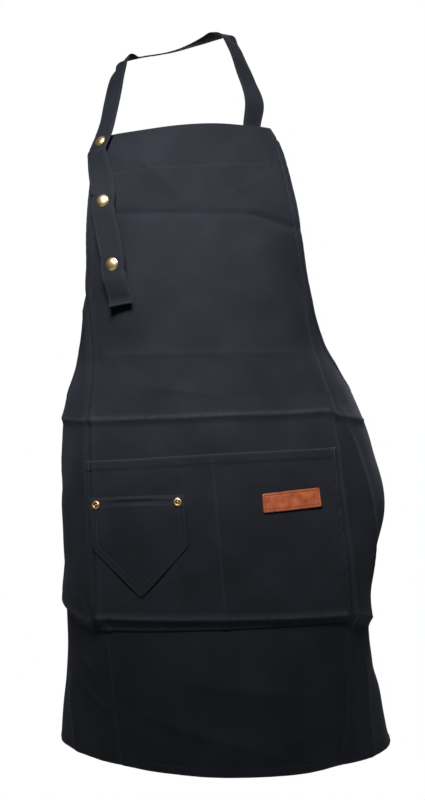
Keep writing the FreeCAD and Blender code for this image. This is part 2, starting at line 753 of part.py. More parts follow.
base = SIZE["flange_thickness"]
ball = base + SIZE["socket_height"] - SIZE["socket_floor"]
turned("snap_stud", [
    (SIZE["stem_radius"], 0), (SIZE["stud_flange"], 0), (SIZE["stud_flange"], base),
    (SIZE["stud_neck"], base), (SIZE["stud_neck"], base + 0.7), (SIZE["stud_radius"], base + 1.2),
    (SIZE["stud_radius"], ball - 0.7), (SIZE["stud_radius"] - 0.8, ball), (SIZE["stem_radius"], ball),
], standing_on(snap_base + snap_out * mm("seat_gap"), snap_out))

through = SIZE["cloth_thickness"] * 2 + SIZE["layer_gap"] + SIZE["seat_gap"]
post_top = base + through + SIZE["seat_gap"] + ball
turned("snap_post", [
    (0, 0), (SIZE["back_cap_radius"], 0), (SIZE["back_cap_radius"], base),
    (SIZE["stem_radius"], base), (SIZE["stem_radius"], post_top), (0, post_top),
], standing_on(snap_base - snap_out * (number(through) + number(base)), snap_out))


def rivet(name, s):
    """Domed rivet through the patch pocket, the wide pocket and the panel, on a washer behind."""
    outward = drape.frame(s, rivet_v)[2]
    surface = drape.point(s, rivet_v)
    front = patch_under(s, rivet_v) + thickness + mm("seat_gap")
    reach = front + thickness + mm("seat_gap") + mm("burr_thickness")
    head = surface + outward * front
    top, height = reach, SIZE["rivet_height"]
    profile = [(0, 0), (SIZE["rivet_shank"], 0), (SIZE["rivet_shank"], top),
               (SIZE["rivet_radius"], top), (SIZE["rivet_radius"], height * 0.45 + top),
               (SIZE["rivet_radius"] * 0.86, height * 0.9 + top),
               (SIZE["rivet_radius"] * 0.68, height + top),
               (SIZE["rivet_dimple"], height * 0.75 + top),
               (SIZE["rivet_dimple"] * 0.5, height * 0.35 + top), (0, height * 0.3 + top)]
    foot = head - outward * reach
    turned("rivet_" + name, profile, standing_on(foot, outward))
    washer = [(SIZE["rivet_shank"], 0), (SIZE["burr_radius"], 0),
              (SIZE["burr_radius"], SIZE["burr_thickness"]),
              (SIZE["rivet_shank"], SIZE["burr_thickness"])]
    turned("rivet_burr_" + name, washer, standing_on(foot, outward))


for name, s in rivet_places.items():
    rivet(name, s)


def make_knot():
    """Knot of the bow: a rounded barrel, wider than deep, as the wrapped tie forms it."""
    knot = doc.addObject("Part::Ellipsoid", "bow_knot")
    knot.setExpression("Radius1", "sizes.knot_radius * 1.2")
    knot.setExpression("Radius2", "sizes.knot_radius * 1.15")
    knot.setExpression("Radius3", "sizes.knot_radius * 0.7")
    knot.Placement = Placement(knot_place, Rotation())
    keep(knot, "bow_knot")


make_knot()

# ---- check and write ------------------------------------------------------------------------

doc.recompute()
for item in doc.Objects:
    if "Invalid" in item.State or "Error" in item.State:
        raise RuntimeError("%s failed to build" % item.Label)
os.makedirs("parts", exist_ok=True)
for item in parts:
    if item.Shape.isNull() or not item.Shape.isValid() or item.Shape.Volume <= 0:
        raise RuntimeError("%s has no sound shape" % item.Label)
    item.Shape.exportStep(os.path.join("parts", item.Label + ".step"))
    box = item.Shape.BoundBox
    print("%-20s volume %9.1f  x %7.1f %7.1f  y %7.1f %7.1f  z %7.1f %7.1f" % (
        item.Label, item.Shape.Volume, box.XMin, box.XMax, box.YMin, box.YMax, box.ZMin, box.ZMax))
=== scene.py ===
"""Canvas bib apron, filled out as if worn: the visual model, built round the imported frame."""
import logging
import math
from dataclasses import dataclass, field
from enum import Enum
from typing import Callable, Sequence

import bpy
import numpy as np
from mathutils import Matrix, Vector


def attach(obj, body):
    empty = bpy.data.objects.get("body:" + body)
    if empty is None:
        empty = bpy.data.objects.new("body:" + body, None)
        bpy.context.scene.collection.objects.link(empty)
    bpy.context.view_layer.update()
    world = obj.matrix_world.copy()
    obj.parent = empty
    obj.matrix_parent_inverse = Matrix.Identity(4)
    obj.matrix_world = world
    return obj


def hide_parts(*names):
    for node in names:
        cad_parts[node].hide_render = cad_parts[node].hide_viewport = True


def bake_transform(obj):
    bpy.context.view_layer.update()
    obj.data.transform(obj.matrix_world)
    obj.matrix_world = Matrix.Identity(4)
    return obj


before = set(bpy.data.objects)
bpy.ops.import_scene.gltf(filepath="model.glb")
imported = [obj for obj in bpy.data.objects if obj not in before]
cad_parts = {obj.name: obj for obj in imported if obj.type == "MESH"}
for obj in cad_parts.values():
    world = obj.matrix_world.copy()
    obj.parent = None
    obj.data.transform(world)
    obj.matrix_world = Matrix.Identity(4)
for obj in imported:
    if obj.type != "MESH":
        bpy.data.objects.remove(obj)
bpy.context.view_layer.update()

LOG = logging.getLogger("apron")
MM = 0.001
WAVE = 0.314                       # units from band to band of a wave texture at a scale of 1
Array = np.ndarray
Lift = Callable[[Array, Array], Array]


class Side(Enum):
    """The two sides of the apron, seen from its front."""

    LEFT = -1
    RIGHT = 1


# ---- colours and shader helpers ---------------------------------------------------------------


def linear(hex_colour: str) -> tuple[float, float, float, float]:
    """Turn an sRGB hex colour into linear RGBA.

    Args:
        hex_colour: colour such as "#1b1e25".

    Returns:
        Linear red, green, blue and an alpha of 1.
    """
    parts = [int(hex_colour[k:k + 2], 16) / 255 for k in (1, 3, 5)]
    red, green, blue = (c / 12.92 if c <= 0.04045 else ((c + 0.055) / 1.055) ** 2.4 for c in parts)
    return red, green, blue, 1.0


def feed(tree: bpy.types.NodeTree, node: bpy.types.Node, inputs: dict) -> None:
    """Set or link a node's inputs.

    Args:
        tree: node tree that the node is in.
        node: the node.
        inputs: for each input's name or index, a value or the output socket to link.
    """
    for key, value in inputs.items():
        if isinstance(value, bpy.types.NodeSocket):
            tree.links.new(value, node.inputs[key])
        else:
            node.inputs[key].default_value = value


def add_node(tree: bpy.types.NodeTree, kind: str, settings: dict | None = None,
             inputs: dict | None = None,
             stops: Sequence[tuple[float, tuple]] = ()) -> bpy.types.Node:
    """Add one node to a tree with its settings and its links.

    Args:
        tree: node tree that gets the node.
        kind: node type without the "ShaderNode" in front.
        settings: properties of the node itself.
        inputs: for each input's name or index, a value or the output socket to link.
        stops: for a colour ramp, the place and linear colour of each of its stops, in order.

    Returns:
        The new node.
    """
    node = tree.nodes.new("ShaderNode" + kind)
    for name, value in (settings or {}).items():
        setattr(node, name, value)
    feed(tree, node, inputs or {})
    for k, (place, colour) in enumerate(stops):
        elements = node.color_ramp.elements
        element = elements[k] if k < 2 else elements.new(place)
        element.position, element.color = place, colour
    return node


def new_material(name: str) -> tuple[bpy.types.Material, bpy.types.NodeTree, bpy.types.Node]:
    """Make an empty material with its output node.

    Args:
        name: the finish's plain name.

    Returns:
        The material, its tree, and its Principled shader, linked to the output.
    """
    material = bpy.data.materials.new(name)
    material.use_nodes = True
    tree = material.node_tree
    tree.nodes.clear()
    shader = add_node(tree, "BsdfPrincipled")
    add_node(tree, "OutputMaterial", inputs={"Surface": shader.outputs[0]})
    return material, tree, shader


def flat_place(tree: bpy.types.NodeTree) -> bpy.types.NodeSocket:
    """Flat-cloth places in mm, as every woven, grained or twisted finish needs them.

    Args:
        tree: node tree.

    Returns:
        The socket that gives them.
    """
    flat = add_node(tree, "Attribute", {"attribute_name": "flat"})
    scaled = add_node(tree, "VectorMath", {"operation": "SCALE"}, {0: flat.outputs["Vector"]})
    scaled.inputs["Scale"].default_value = 1 / MM
    return scaled.outputs[0]


# ---- finishes ---------------------------------------------------------------------------------


@dataclass(frozen=True)
class CanvasTwill:
    """Cotton canvas, woven as a twill and piece dyed near black: it drinks the light, shows a fine
    slanting grain when close, a soft bloom at grazing angles and paler lines on its folds."""

    name: str = "cotton canvas twill, near black"
    ground: str = "#1b1d23"
    shade: str = "#0e1014"
    rubbed: str = "#33363d"
    bloom: str = "#8d97ad"
    twill_pitch: float = 1.15      # mm between twill lines: twice the real one, so that it shows
    thread_pitch: float = 0.62     # mm between threads
    slub_size: float = 1.111       # mm, thick places of the yarn
    rub_size: float = 6.25         # mm, patches that wear takes first
    dye_size: float = 45.45        # mm, clouds in the dye
    twill_angle: float = 58.0      # degrees from the weft

    def material(self) -> bpy.types.Material:
        """Build the canvas material.

        Returns:
            The material.
        """
        material, tree, shader = new_material(self.name)
        place = flat_place(tree)
        turned = add_node(tree, "Mapping", inputs={"Vector": place})
        turned.inputs["Rotation"].default_value = (0, 0, math.radians(self.twill_angle))
        twill = add_node(tree, "TexWave", {"wave_type": "BANDS", "bands_direction": "X"},
                         {"Vector": turned.outputs[0], "Scale": WAVE / self.twill_pitch,
                          "Distortion": 0.6, "Detail": 1.0, "Detail Scale": 2.0})
        threads = add_node(tree, "TexWave", {"wave_type": "BANDS", "bands_direction": "Y"},
                           {"Vector": place, "Scale": WAVE / self.thread_pitch, "Distortion": 0.8})
        weave = add_node(tree, "Math", {"operation": "MULTIPLY_ADD"},
                         {0: threads.outputs["Fac"], 1: 0.35, 2: twill.outputs["Fac"]})
        slub = add_node(tree, "TexNoise", inputs={"Vector": place,
                                                  "Scale": 1 / self.slub_size, "Detail": 4.0})
        cloud = add_node(tree, "TexNoise", inputs={"Vector": place,
                                                   "Scale": 1 / self.dye_size, "Detail": 3.0})
        tone = add_node(tree, "Math", {"operation": "MULTIPLY_ADD"},
                        {0: weave.outputs[0], 1: 0.28, 2: slub.outputs["Fac"]})
        uneven = add_node(tree, "Math", {"operation": "MULTIPLY_ADD"},
                          {0: cloud.outputs["Fac"], 1: 0.7, 2: tone.outputs[0]})
        spread = add_node(tree, "MapRange", inputs={"Value": uneven.outputs[0], "From Min": 0.8,
                                                    "From Max": 1.5})
        dyed = add_node(tree, "ValToRGB", inputs={"Fac": spread.outputs[0]},
                        stops=[(0.0, linear(self.shade)), (1.0, linear(self.ground))])
        # The paler wear colour is mostly rubbed wear; on the pockets' mouths it is partly a painted
        # highlight.
        wear = add_node(tree, "Attribute", {"attribute_name": "wear"})
        patchy = add_node(tree, "TexNoise", inputs={"Vector": place,
                                                    "Scale": 1 / self.rub_size, "Detail": 5.0})
        rub = add_node(tree, "Math", {"operation": "MULTIPLY", "use_clamp": True},
                       {0: wear.outputs["Fac"], 1: patchy.outputs["Fac"]})
        colour = add_node(tree, "Mix", {"data_type": "RGBA"},
                          {0: rub.outputs[0], 6: dyed.outputs[0], 7: linear(self.rubbed)})
        height = add_node(tree, "Math", {"operation": "MULTIPLY_ADD"},
                          {0: slub.outputs["Fac"], 1: 0.5, 2: weave.outputs[0]})
        bump = add_node(tree, "Bump", inputs={"Height": height.outputs[0], "Strength": 0.45,
                                              "Distance": 0.22 * MM})
        feed(tree, shader, {"Base Color": colour.outputs[2], "Normal": bump.outputs[0],
                            "Roughness": 0.88, "Specular IOR Level": 0.09, "Sheen Weight": 0.04,
                            "Sheen Roughness": 0.45, "Sheen Tint": linear(self.bloom)})
        return material


@dataclass(frozen=True)
class WaxedLeather:
    """Vegetable-tanned cowhide, pull-up waxed and polished: warm orange brown with a fine pebbled
    grain, darker in its creases and pressed line, and a sharp wet-looking highlight."""

    name: str = "tan cowhide, waxed"
    hide: str = "#824126"
    deep: str = "#6a331b"
    pale: str = "#94502f"
    pore_pitch: float = 1.1        # mm between pores of the grain
    stain_size: float = 8.333      # mm, clouds in the stain

    def material(self) -> bpy.types.Material:
        """Build the leather material.

        Returns:
            The material.
        """
        material, tree, shader = new_material(self.name)
        place = flat_place(tree)
        pores = add_node(tree, "TexVoronoi", {"feature": "DISTANCE_TO_EDGE"},
                         {"Vector": place, "Scale": 1 / self.pore_pitch})
        cloud = add_node(tree, "TexNoise", inputs={"Vector": place,
                                                   "Scale": 1 / self.stain_size, "Detail": 5.0})
        dyed = add_node(tree, "ValToRGB", inputs={"Fac": cloud.outputs["Fac"]},
                        stops=[(0.25, linear(self.deep)), (0.5, linear(self.hide)),
                               (0.8, linear(self.pale))])
        wear = add_node(tree, "Attribute", {"attribute_name": "wear"})
        colour = add_node(tree, "Mix", {"data_type": "RGBA"},
                          {0: wear.outputs["Fac"], 6: dyed.outputs[0], 7: linear(self.deep)})
        rough = add_node(tree, "MapRange", inputs={"Value": cloud.outputs["Fac"], "From Min": 0.3,
                                                   "From Max": 0.7, "To Min": 0.24, "To Max": 0.42})
        bump = add_node(tree, "Bump", inputs={"Height": pores.outputs["Distance"], "Strength": 0.35,
                                              "Distance": 0.25 * MM})
        feed(tree, shader, {"Base Color": colour.outputs[2], "Roughness": rough.outputs[0],
                            "Normal": bump.outputs[0], "Coat Weight": 0.5,
                            "Coat Roughness": 0.16})
        return material


@dataclass(frozen=True)
class StampedBrass:
    """Stamped brass, as plated snaps and rivets are: the tumbled surface is bright with fine random
    scratches, and it darkens where fingers and cloth don't rub it."""

    name: str
    face: str
    recess: str
    roughness: float
    scratch: float = 0.5           # mm between scratches
    tarnish_size: float = 3.333    # mm, clouds of tarnish

    def material(self) -> bpy.types.Material:
        """Build the brass material.

        Returns:
            The material.
        """
        material, tree, shader = new_material(self.name)
        where = add_node(tree, "TexCoord").outputs["Object"]
        place = add_node(tree, "VectorMath", {"operation": "SCALE"}, {0: where})
        place.inputs["Scale"].default_value = 1 / MM
        scratches = add_node(tree, "TexNoise", inputs={"Vector": place.outputs[0],
                                                       "Scale": 1 / self.scratch, "Detail": 6.0})
        cloud = add_node(tree, "TexNoise", inputs={"Vector": place.outputs[0],
                                                   "Scale": 1 / self.tarnish_size, "Detail": 3.0})
        low = self.roughness * 0.75
        rough = add_node(tree, "MapRange", inputs={"Value": scratches.outputs["Fac"],
                                                   "From Min": 0.3, "From Max": 0.7,
                                                   "To Min": low, "To Max": self.roughness * 1.3})
        wear = add_node(tree, "Attribute", {"attribute_name": "wear"})
        grime = add_node(tree, "Math", {"operation": "MULTIPLY_ADD", "use_clamp": True},
                         {0: cloud.outputs["Fac"], 1: 0.25, 2: wear.outputs["Fac"]})
        colour = add_node(tree, "Mix", {"data_type": "RGBA"},
                          {0: grime.outputs[0], 6: linear(self.face), 7: linear(self.recess)})
        bump = add_node(tree, "Bump", inputs={"Height": scratches.outputs["Fac"], "Strength": 0.12,
                                              "Distance": 0.05 * MM})
        feed(tree, shader, {"Base Color": colour.outputs[2], "Roughness": rough.outputs[0],
                            "Normal": bump.outputs[0], "Metallic": 1.0})
        return material


@dataclass(frozen=True)
class SpunThread:
    """Spun polyester thread, two plies twisted: a satin line a shade lighter than the cloth."""

    name: str
    colour: str
    ply_pitch: float = 0.6         # mm for one turn of the twist

    def material(self) -> bpy.types.Material:
        """Build the thread material.

        Returns:
            The material.
        """
        material, tree, shader = new_material(self.name)
        plies = add_node(tree, "TexWave", {"wave_type": "BANDS", "bands_direction": "DIAGONAL"},
                         {"Vector": flat_place(tree), "Scale": WAVE / self.ply_pitch})
        tint = linear(self.colour)
        dark = tuple(c * 0.6 for c in tint[:3]) + (1.0,)
        colour = add_node(tree, "ValToRGB", inputs={"Fac": plies.outputs["Fac"]},
                          stops=[(0.2, dark), (0.8, tint)])
        bump = add_node(tree, "Bump", inputs={"Height": plies.outputs["Fac"], "Strength": 0.3,
                                              "Distance": 0.1 * MM})
        feed(tree, shader, {"Base Color": colour.outputs[0], "Normal": bump.outputs[0],
                            "Roughness": 0.6, "Specular IOR Level": 0.3})
        return material


@dataclass(frozen=True)
class StudioPaper:
    """Seamless white background paper: matt, with a faint tooth."""

    name: str = "white background paper"
    colour: str = "#f4f4f3"
    tooth: float = 1.5             # mm
    glow: float = 0.5

    def material(self) -> bpy.types.Material:
        """Build the paper material.

        Returns:
            The material.
        """
        material, tree, shader = new_material(self.name)
        where = add_node(tree, "NewGeometry").outputs["Position"]
        grain = add_node(tree, "TexNoise", inputs={"Vector": where, "Scale": 1 / (self.tooth * MM)})
        bump = add_node(tree, "Bump", inputs={"Height": grain.outputs["Fac"], "Strength": 0.05,
                                              "Distance": 0.1 * MM})
        feed(tree, shader, {"Normal": bump.outputs[0], "Base Color": linear(self.colour),
                            "Roughness": 0.9})
        # The paper has lights of its own, as a background in a studio has.
        feed(tree, shader, {"Emission Color": linear(self.colour),
                            "Emission Strength": self.glow})
        return material


CANVAS = CanvasTwill().material()
LEATHER = WaxedLeather().material()
SNAP_BRASS = StampedBrass("stamped brass, pale and polished", "#e2cc98", "#8f7040", 0.36).material()
RIVET_BRASS = StampedBrass("stamped brass, darkened", "#cdb07a", "#5a3420", 0.40).material()
WIRE = StampedBrass("hard drawn spring wire", "#b9bac0", "#77787c", 0.28).material()
CLOTH_THREAD = SpunThread("polyester thread, near black", "#23262d").material()
LABEL_THREAD = SpunThread("polyester thread, brown", "#8a4420").material()

# ---- the draped surface -----------------------------------------------------------------------

# One line for each height v below the bib's top edge: how far the centre front stands before the
# neck, the turn to the pocket seams, the extra turn in each pressed crease there, the turn of each
# wing, and how much lower the right side hangs.  Lengths in mm, angles in degrees.
FORM = (
    (0, 97, 74, 0, 0, 59, 60, 0.0),
    (35, 105, 52, 0, 0, 59, 60, 0.0),
    (100, 116, 34, 4, 3, 58, 59, 0.0),
    (200, 133, 49, 7, 4, 48, 50, 0.0),
    (265, 140, 52, 11, 5, 51, 49, 0.0),
    (320, 148, 42, 16, 8, 60, 52, 0.4),
    (390, 161, 34, 21, 9, 63, 53, 0.8),
    (460, 168, 29, 25, 10, 68, 56, 1.3),
    (540, 170, 26, 27, 20, 64, 72, 2.0),
    (600, 168, 33, 20, 16, 60, 76, 2.4),
    (680, 160, 45, 2, -3, 53, 61, 3.6),
    (750, 152, 56, -12, -19, 46, 51, 4.8),
)


def smooth_step(share: Array) -> Array:
    """0 to 1 with a flat start and end, for shares cut to that range."""
    share = np.clip(share, 0.0, 1.0)
    return share * share * (3 - 2 * share)


def bell(away: Array, width: float) -> Array:
    """1 at a distance of 0, and next to nothing beyond two widths."""
    return np.exp(-(away / width) ** 2)


def unit(vectors: Array) -> Array:
    """Vectors brought to a length of 1."""
    return vectors / np.maximum(np.linalg.norm(vectors, axis=-1, keepdims=True), 1e-9)


def run_along(points: Array) -> Array:
    """Distance of each point from the first, along the line through them all."""
    steps = np.linalg.norm(np.diff(points, axis=0), axis=1)
    return np.concatenate([[0], np.cumsum(steps)])


def points_at(distance: Array, run: Array, points: Array) -> Array:
    """Points, or directions, at distances along a line.

    Args:
        distance: distances wanted, in mm.
        run: distance of each known point, in mm.
        points: the known points, one to a row.

    Returns:
        One row for each distance.
    """
    return np.stack([np.interp(distance, run, column) for column in points.T], -1)


@dataclass(frozen=True)
class Fold:
    """A crease or soft fold: a line on the flat cloth, its height, and its flanks' reach."""

    start: tuple[float, float]
    end: tuple[float, float]
    height: float                  # mm, negative for a valley
    above: float                   # mm, flank above the line, or to its right
    below: float                   # mm, flank below the line, or to its left
    fade: float = 22.0             # mm over which it dies out at each end
    crisp: float = 1.6             # 1 is a knife edge, 3 a round back

    def share(self, s: Array, v: Array) -> Array:
        """How much of the fold's height there is at each place.

        Args:
            s: sideways places on the flat cloth.
            v: places down the flat cloth.

        Returns:
            Shares from 0 to 1.
        """
        run, drop = self.end[0] - self.start[0], self.end[1] - self.start[1]
        length = math.hypot(run, drop)
        along = ((s - self.start[0]) * run + (v - self.start[1]) * drop) / length
        across = (-(s - self.start[0]) * drop + (v - self.start[1]) * run) / length
        flank = np.where(across < 0, self.above, self.below)
        near = np.clip(1 - np.abs(across) / flank, 0, 1) ** self.crisp
        start = smooth_step(along / self.fade + 0.5)
        return near * (start * smooth_step((length - along) / self.fade + 0.5))


PRESSED_FOLDS = (
    Fold((-112, 98), (74, 112), -1.5, 7, 10),
    Fold((70, 112), (132, 131), -2.4, 9, 13),
    Fold((-138, 262), (132, 276), 0.7, 11, 11),
    Fold((-262, 334), (-142, 340), 2.8, 18, 10),
    Fold((-150, 340), (156, 346), 3.0, 24, 8, crisp=1.3),
    Fold((150, 349), (262, 360), 3.2, 18, 11),
    Fold((-156, 180), (-152, 586), 1.3, 4, 6),
    Fold((-148, 170), (-147, 586), -2.2, 4, 4),
    Fold((-140, 170), (-141, 586), 1.1, 7, 4),
    Fold((140, 215), (156, 332), 2.2, 9, 12),
    Fold((156, 325), (158, 590), 2.4, 9, 14, crisp=1.3),
    Fold((-134, 586), (-143, 750), 1.8, 12, 7),
    Fold((150, 590), (152, 750), 1.6, 9, 12),
    Fold((-330, 536), (-146, 572), 5.0, 40, 12, crisp=1.4),
    Fold((150, 574), (330, 604), 5.5, 40, 12, crisp=1.4),
)
SOFT_FOLDS = (
    Fold((-100, 682), (44, 726), 2.6, 26, 22, 60, 2.2),
    Fold((-60, 640), (96, 664), 1.8, 34, 30, 70, 2.4),
    Fold((60, 720), (150, 690), 1.8, 22, 22, 50, 2.4),
    Fold((-214, 640), (-150, 680), 2.4, 12, 10, 30, 2.0),
    Fold((-206, 612), (-158, 634), 1.8, 10, 9, 26, 2.0),
    Fold((-176, 540), (-146, 578), 2.2, 8, 8, 18, 1.8),
    Fold((-60, 36), (-14, 88), 1.3, 20, 20, 40, 2.4),
    Fold((30, 92), (104, 62), 1.2, 22, 22, 50, 2.4),
    Fold((-90, 300), (20, 322), 1.2, 26, 22, 70, 2.4),
    Fold((186, 360), (232, 540), 4.0, 26, 30, 90, 2.4),
    Fold((-262, 360), (-286, 540), 2.4, 26, 26, 90, 2.4),
    Fold((200, 640), (216, 748), 2.6, 26, 26, 60, 2.4),
    Fold((-232, 650), (-238, 748), 2.6, 26, 26, 60, 2.4),
)
POCKET_FOLDS = (
    Fold((-2, 380), (1, 584), 1.0, 11, 11, 20, 1.5),
    Fold((-150, 566), (150, 574), 4.6, 46, 9, 14, 1.5),
    Fold((-150, 548), (-132, 584), 1.8, 7, 7, 12, 1.6),
    Fold((-20, 470), (70, 556), 1.3, 30, 30, 60, 2.4),
    Fold((-128, 556), (-40, 520), 0.9, 20, 20, 40, 2.4),
)
# Places where metal is fixed, and the cloth lies as flat as the pieces on it: s, v.
FIXED_PLACES = ((-110.0, 11.0), (-138.0, 438.0), (-42.0, 438.0))


@dataclass
class Drape:
    """The draped cloth's surface, from flat-cloth places to places in space, in mm."""

    bib_below_neck: float = 105.0
    crease_place: float = 150.0
    crease_half: float = 8.0
    wing_span: float = 190.0
    length: float = 760.0
    half_width: float = 346.0
    row_step: float = 2.5
    height_step: float = 5.0
    grid: Array = field(init=False, repr=False)
    waves: Array = field(init=False, repr=False)

    def __post_init__(self) -> None:
        """Work out the surface once, on a fine grid."""
        left, right = self._half(Side.LEFT), self._half(Side.RIGHT)
        self.grid = np.concatenate([left[:, :0:-1], right], axis=1)
        random = np.random.default_rng(7)
        count = 14
        turns = random.uniform(0, math.pi, count)
        lengths = random.uniform(46, 130, count)
        self.waves = np.stack([np.cos(turns) / lengths, np.sin(turns) / lengths,
                               random.uniform(0, 1, count), lengths / 130 * 0.34], axis=1)

    @staticmethod
    def form(column: int, v: Array) -> Array:
        """One column of FORM at heights v, as a smooth curve through all its lines.

        Args:
            column: column of FORM.
            v: flat places down, in mm.

        Returns:
            The column's values.
        """
        table = np.array(FORM, float)
        places, values = table[:, 0], table[:, column]
        v = np.clip(v, places[0], places[-1])
        i = np.clip(np.searchsorted(places, v, side="right") - 1, 0, len(places) - 2)
        count = np.arange(len(places))
        low, high = np.maximum(count - 1, 0), np.minimum(count + 1, len(places) - 1)
        slope = (values[high] - values[low]) / (places[high] - places[low])
        span = places[i + 1] - places[i]
        t = (v - places[i]) / span
        rise = values[i] + (values[i + 1] - values[i]) * t * t * (3 - 2 * t)
        return rise + span * t * (1 - t) * (slope[i] * (1 - t) - slope[i + 1] * t)

    def height(self, v: Array) -> Array:
        """Level of the centre front at v.

        Args:
            v: flat places down, in mm.

        Returns:
            Levels, in mm.
        """
        steps = np.arange(0, self.length + 6 * self.height_step, self.height_step)
        advance = np.diff(self.form(1, steps))
        levels = -np.concatenate([[0], np.cumsum(np.sqrt(self.height_step ** 2 - advance ** 2))])
        return np.interp(v, steps, levels) - self.bib_below_neck

    def _half(self, side: Side) -> Array:
        """Points of one half of the surface, each row added up outward from the centre front.

        Args:
            side: which side of the apron.

        Returns:
            Grid of places, rows by columns by 3, in mm.
        """
        column = 0 if side is Side.LEFT else 1
        rows = np.arange(0, self.length + 0.1, self.row_step)[:, None]
        out = np.arange(0, self.half_width, 1.0)[None, :] + 0.5
        turn = self.form(2, rows) * np.minimum(out, self.crease_place) / self.crease_place
        inside = self.crease_place - self.crease_half
        creased = np.clip((out - inside) / (2 * self.crease_half), 0, 1)
        turn = turn + self.form(3 + column, rows) * creased
        winged = np.maximum(out - self.crease_place, 0)
        turn += self.form(5 + column, rows) * winged / self.wing_span
        turn = np.radians(turn)
        start = np.zeros((len(rows), 1))
        x = side.value * np.concatenate([start, np.cumsum(np.cos(turn), 1)], 1)
        y = np.concatenate([start, np.cumsum(np.sin(turn), 1)], 1) - self.form(1, rows)
        z = self.height(rows) - x * np.tan(np.radians(self.form(7, rows)))
        return np.stack([x, y, z], -1)

    def at(self, s: Array, v: Array) -> Array:
        """Places in space of flat places, on the bare surface.

        Args:
            s: flat places sideways, in mm.
            v: flat places down, in mm.

        Returns:
            Places in mm, three to a place.
        """
        rows, columns = self.grid.shape[:2]
        i = np.clip(np.asarray(v, float) / self.row_step, 0, rows - 1.001)
        j = np.clip(np.asarray(s, float) + (columns - 1) / 2, 0, columns - 1.001)
        i0, j0 = i.astype(int), j.astype(int)
        a, b = (i - i0)[..., None], (j - j0)[..., None]
        top = self.grid[i0, j0] * (1 - b) + self.grid[i0, j0 + 1] * b
        bottom = self.grid[i0 + 1, j0] * (1 - b) + self.grid[i0 + 1, j0 + 1] * b
        return top * (1 - a) + bottom * a

    def directions(self, s: Array, v: Array) -> tuple[Array, Array, Array]:
        """Unit directions sideways, down and outward at flat places.

        Args:
            s: flat places sideways, in mm.
            v: flat places down, in mm.

        Returns:
            Three arrays of unit directions.
        """
        s, v = np.asarray(s, float), np.asarray(v, float)
        step = 3.0
        sideways = unit(self.at(s + step, v) - self.at(s - step, v))
        down = self.at(s, v + step) - self.at(s, np.maximum(v - step, 0))
        outward = unit(np.cross(down, sideways))
        return sideways, np.cross(sideways, outward), outward

    def lifted(self, s: Array, v: Array, lift: Array | float) -> Array:
        """Places at a distance from the bare surface, along its outward direction."""
        outward = self.directions(s, v)[2]
        return self.at(s, v) + outward * np.asarray(lift, float)[..., None]

    def fixed(self, s: Array, v: Array) -> Array:
        """1 where metal holds the cloth to its plain form, falling to 0 away from it.

        Args:
            s: flat places sideways, in mm.
            v: flat places down, in mm.

        Returns:
            Shares from 0 to 1.
        """
        hold = np.zeros(np.broadcast(s, v).shape)
        for place in FIXED_PLACES:
            far = np.hypot(s - place[0], v - place[1])
            hold = np.maximum(hold, 1 - smooth_step((far - 12) / 22))
        return hold

    def relief(self, s: Array, v: Array) -> Array:
        """How far folds and unevenness lift the cloth at flat places.

        Args:
            s: flat places sideways, in mm.
            v: flat places down, in mm.

        Returns:
            Lifts in mm.
        """
        lift = np.zeros(np.broadcast(s, v).shape)
        for fold in PRESSED_FOLDS + SOFT_FOLDS:
            lift = lift + fold.height * fold.share(s, v)
        for along, down, phase, size in self.waves:
            lift = lift + size * np.sin(2 * math.pi * (s * along + v * down + phase))
        return lift * (1 - self.fixed(s, v))

    @staticmethod
    def rubbed(s: Array, v: Array, folds: Sequence[Fold]) -> Array:
        """How much the crests of mountain folds are rubbed pale, the higher ones more.

        Args:
            s: flat places sideways, in mm.
            v: flat places down, in mm.
            folds: the folds to look at.

        Returns:
            Wear from 0 to 0.7.
        """
        wear = np.zeros(np.broadcast(s, v).shape)
        for fold in folds:
            rub = float(np.clip(fold.height / 5, 0, 0.7))
            wear = np.maximum(wear, rub * smooth_step(fold.share(s, v) * 3.2 - 2.2))
        return wear


DRAPE = Drape()

# ---- mesh makers ------------------------------------------------------------------------------


def make_mesh(name: str, points: Array, faces: list, material: bpy.types.Material,
              flat: Array, wear: Array | None = None) -> bpy.types.Object:
    """Make a smooth-shaded mesh object with its flat-cloth places.

    Args:
        name: name of the piece.
        points: places in mm.
        faces: corner numbers of each face.
        material: its finish.
        flat: flat places in mm, two to a point, which patterns follow.
        wear: from 0 to 1 for each point, where the finish is worn.

    Returns:
        The new object.
    """
    mesh = bpy.data.meshes.new(name)
    mesh.from_pydata((np.asarray(points) * MM).tolist(), [], faces)
    places = np.zeros((len(points), 3), np.float32)
    places[:, :2] = np.asarray(flat) * MM
    mesh.attributes.new("flat", "FLOAT_VECTOR", "POINT").data.foreach_set("vector", places.ravel())
    worn = np.zeros(len(points), np.float32) if wear is None else np.asarray(wear, np.float32)
    mesh.attributes.new("wear", "FLOAT", "POINT").data.foreach_set("value", worn.ravel())
    mesh.materials.append(material)
    mesh.polygons.foreach_set("use_smooth", np.ones(len(mesh.polygons), bool))
    mesh.update()
    made = bpy.data.objects.new(name, mesh)
    bpy.context.scene.collection.objects.link(made)
    return made


def border_of(rows: int, columns: int) -> Array:
    """Numbers of a grid's border points, once round, clockwise from its first corner."""
    number = np.arange(rows * columns).reshape(rows, columns)
    return np.concatenate([number[0, :-1], number[:-1, -1], number[-1, :0:-1], number[:0:-1, 0]])


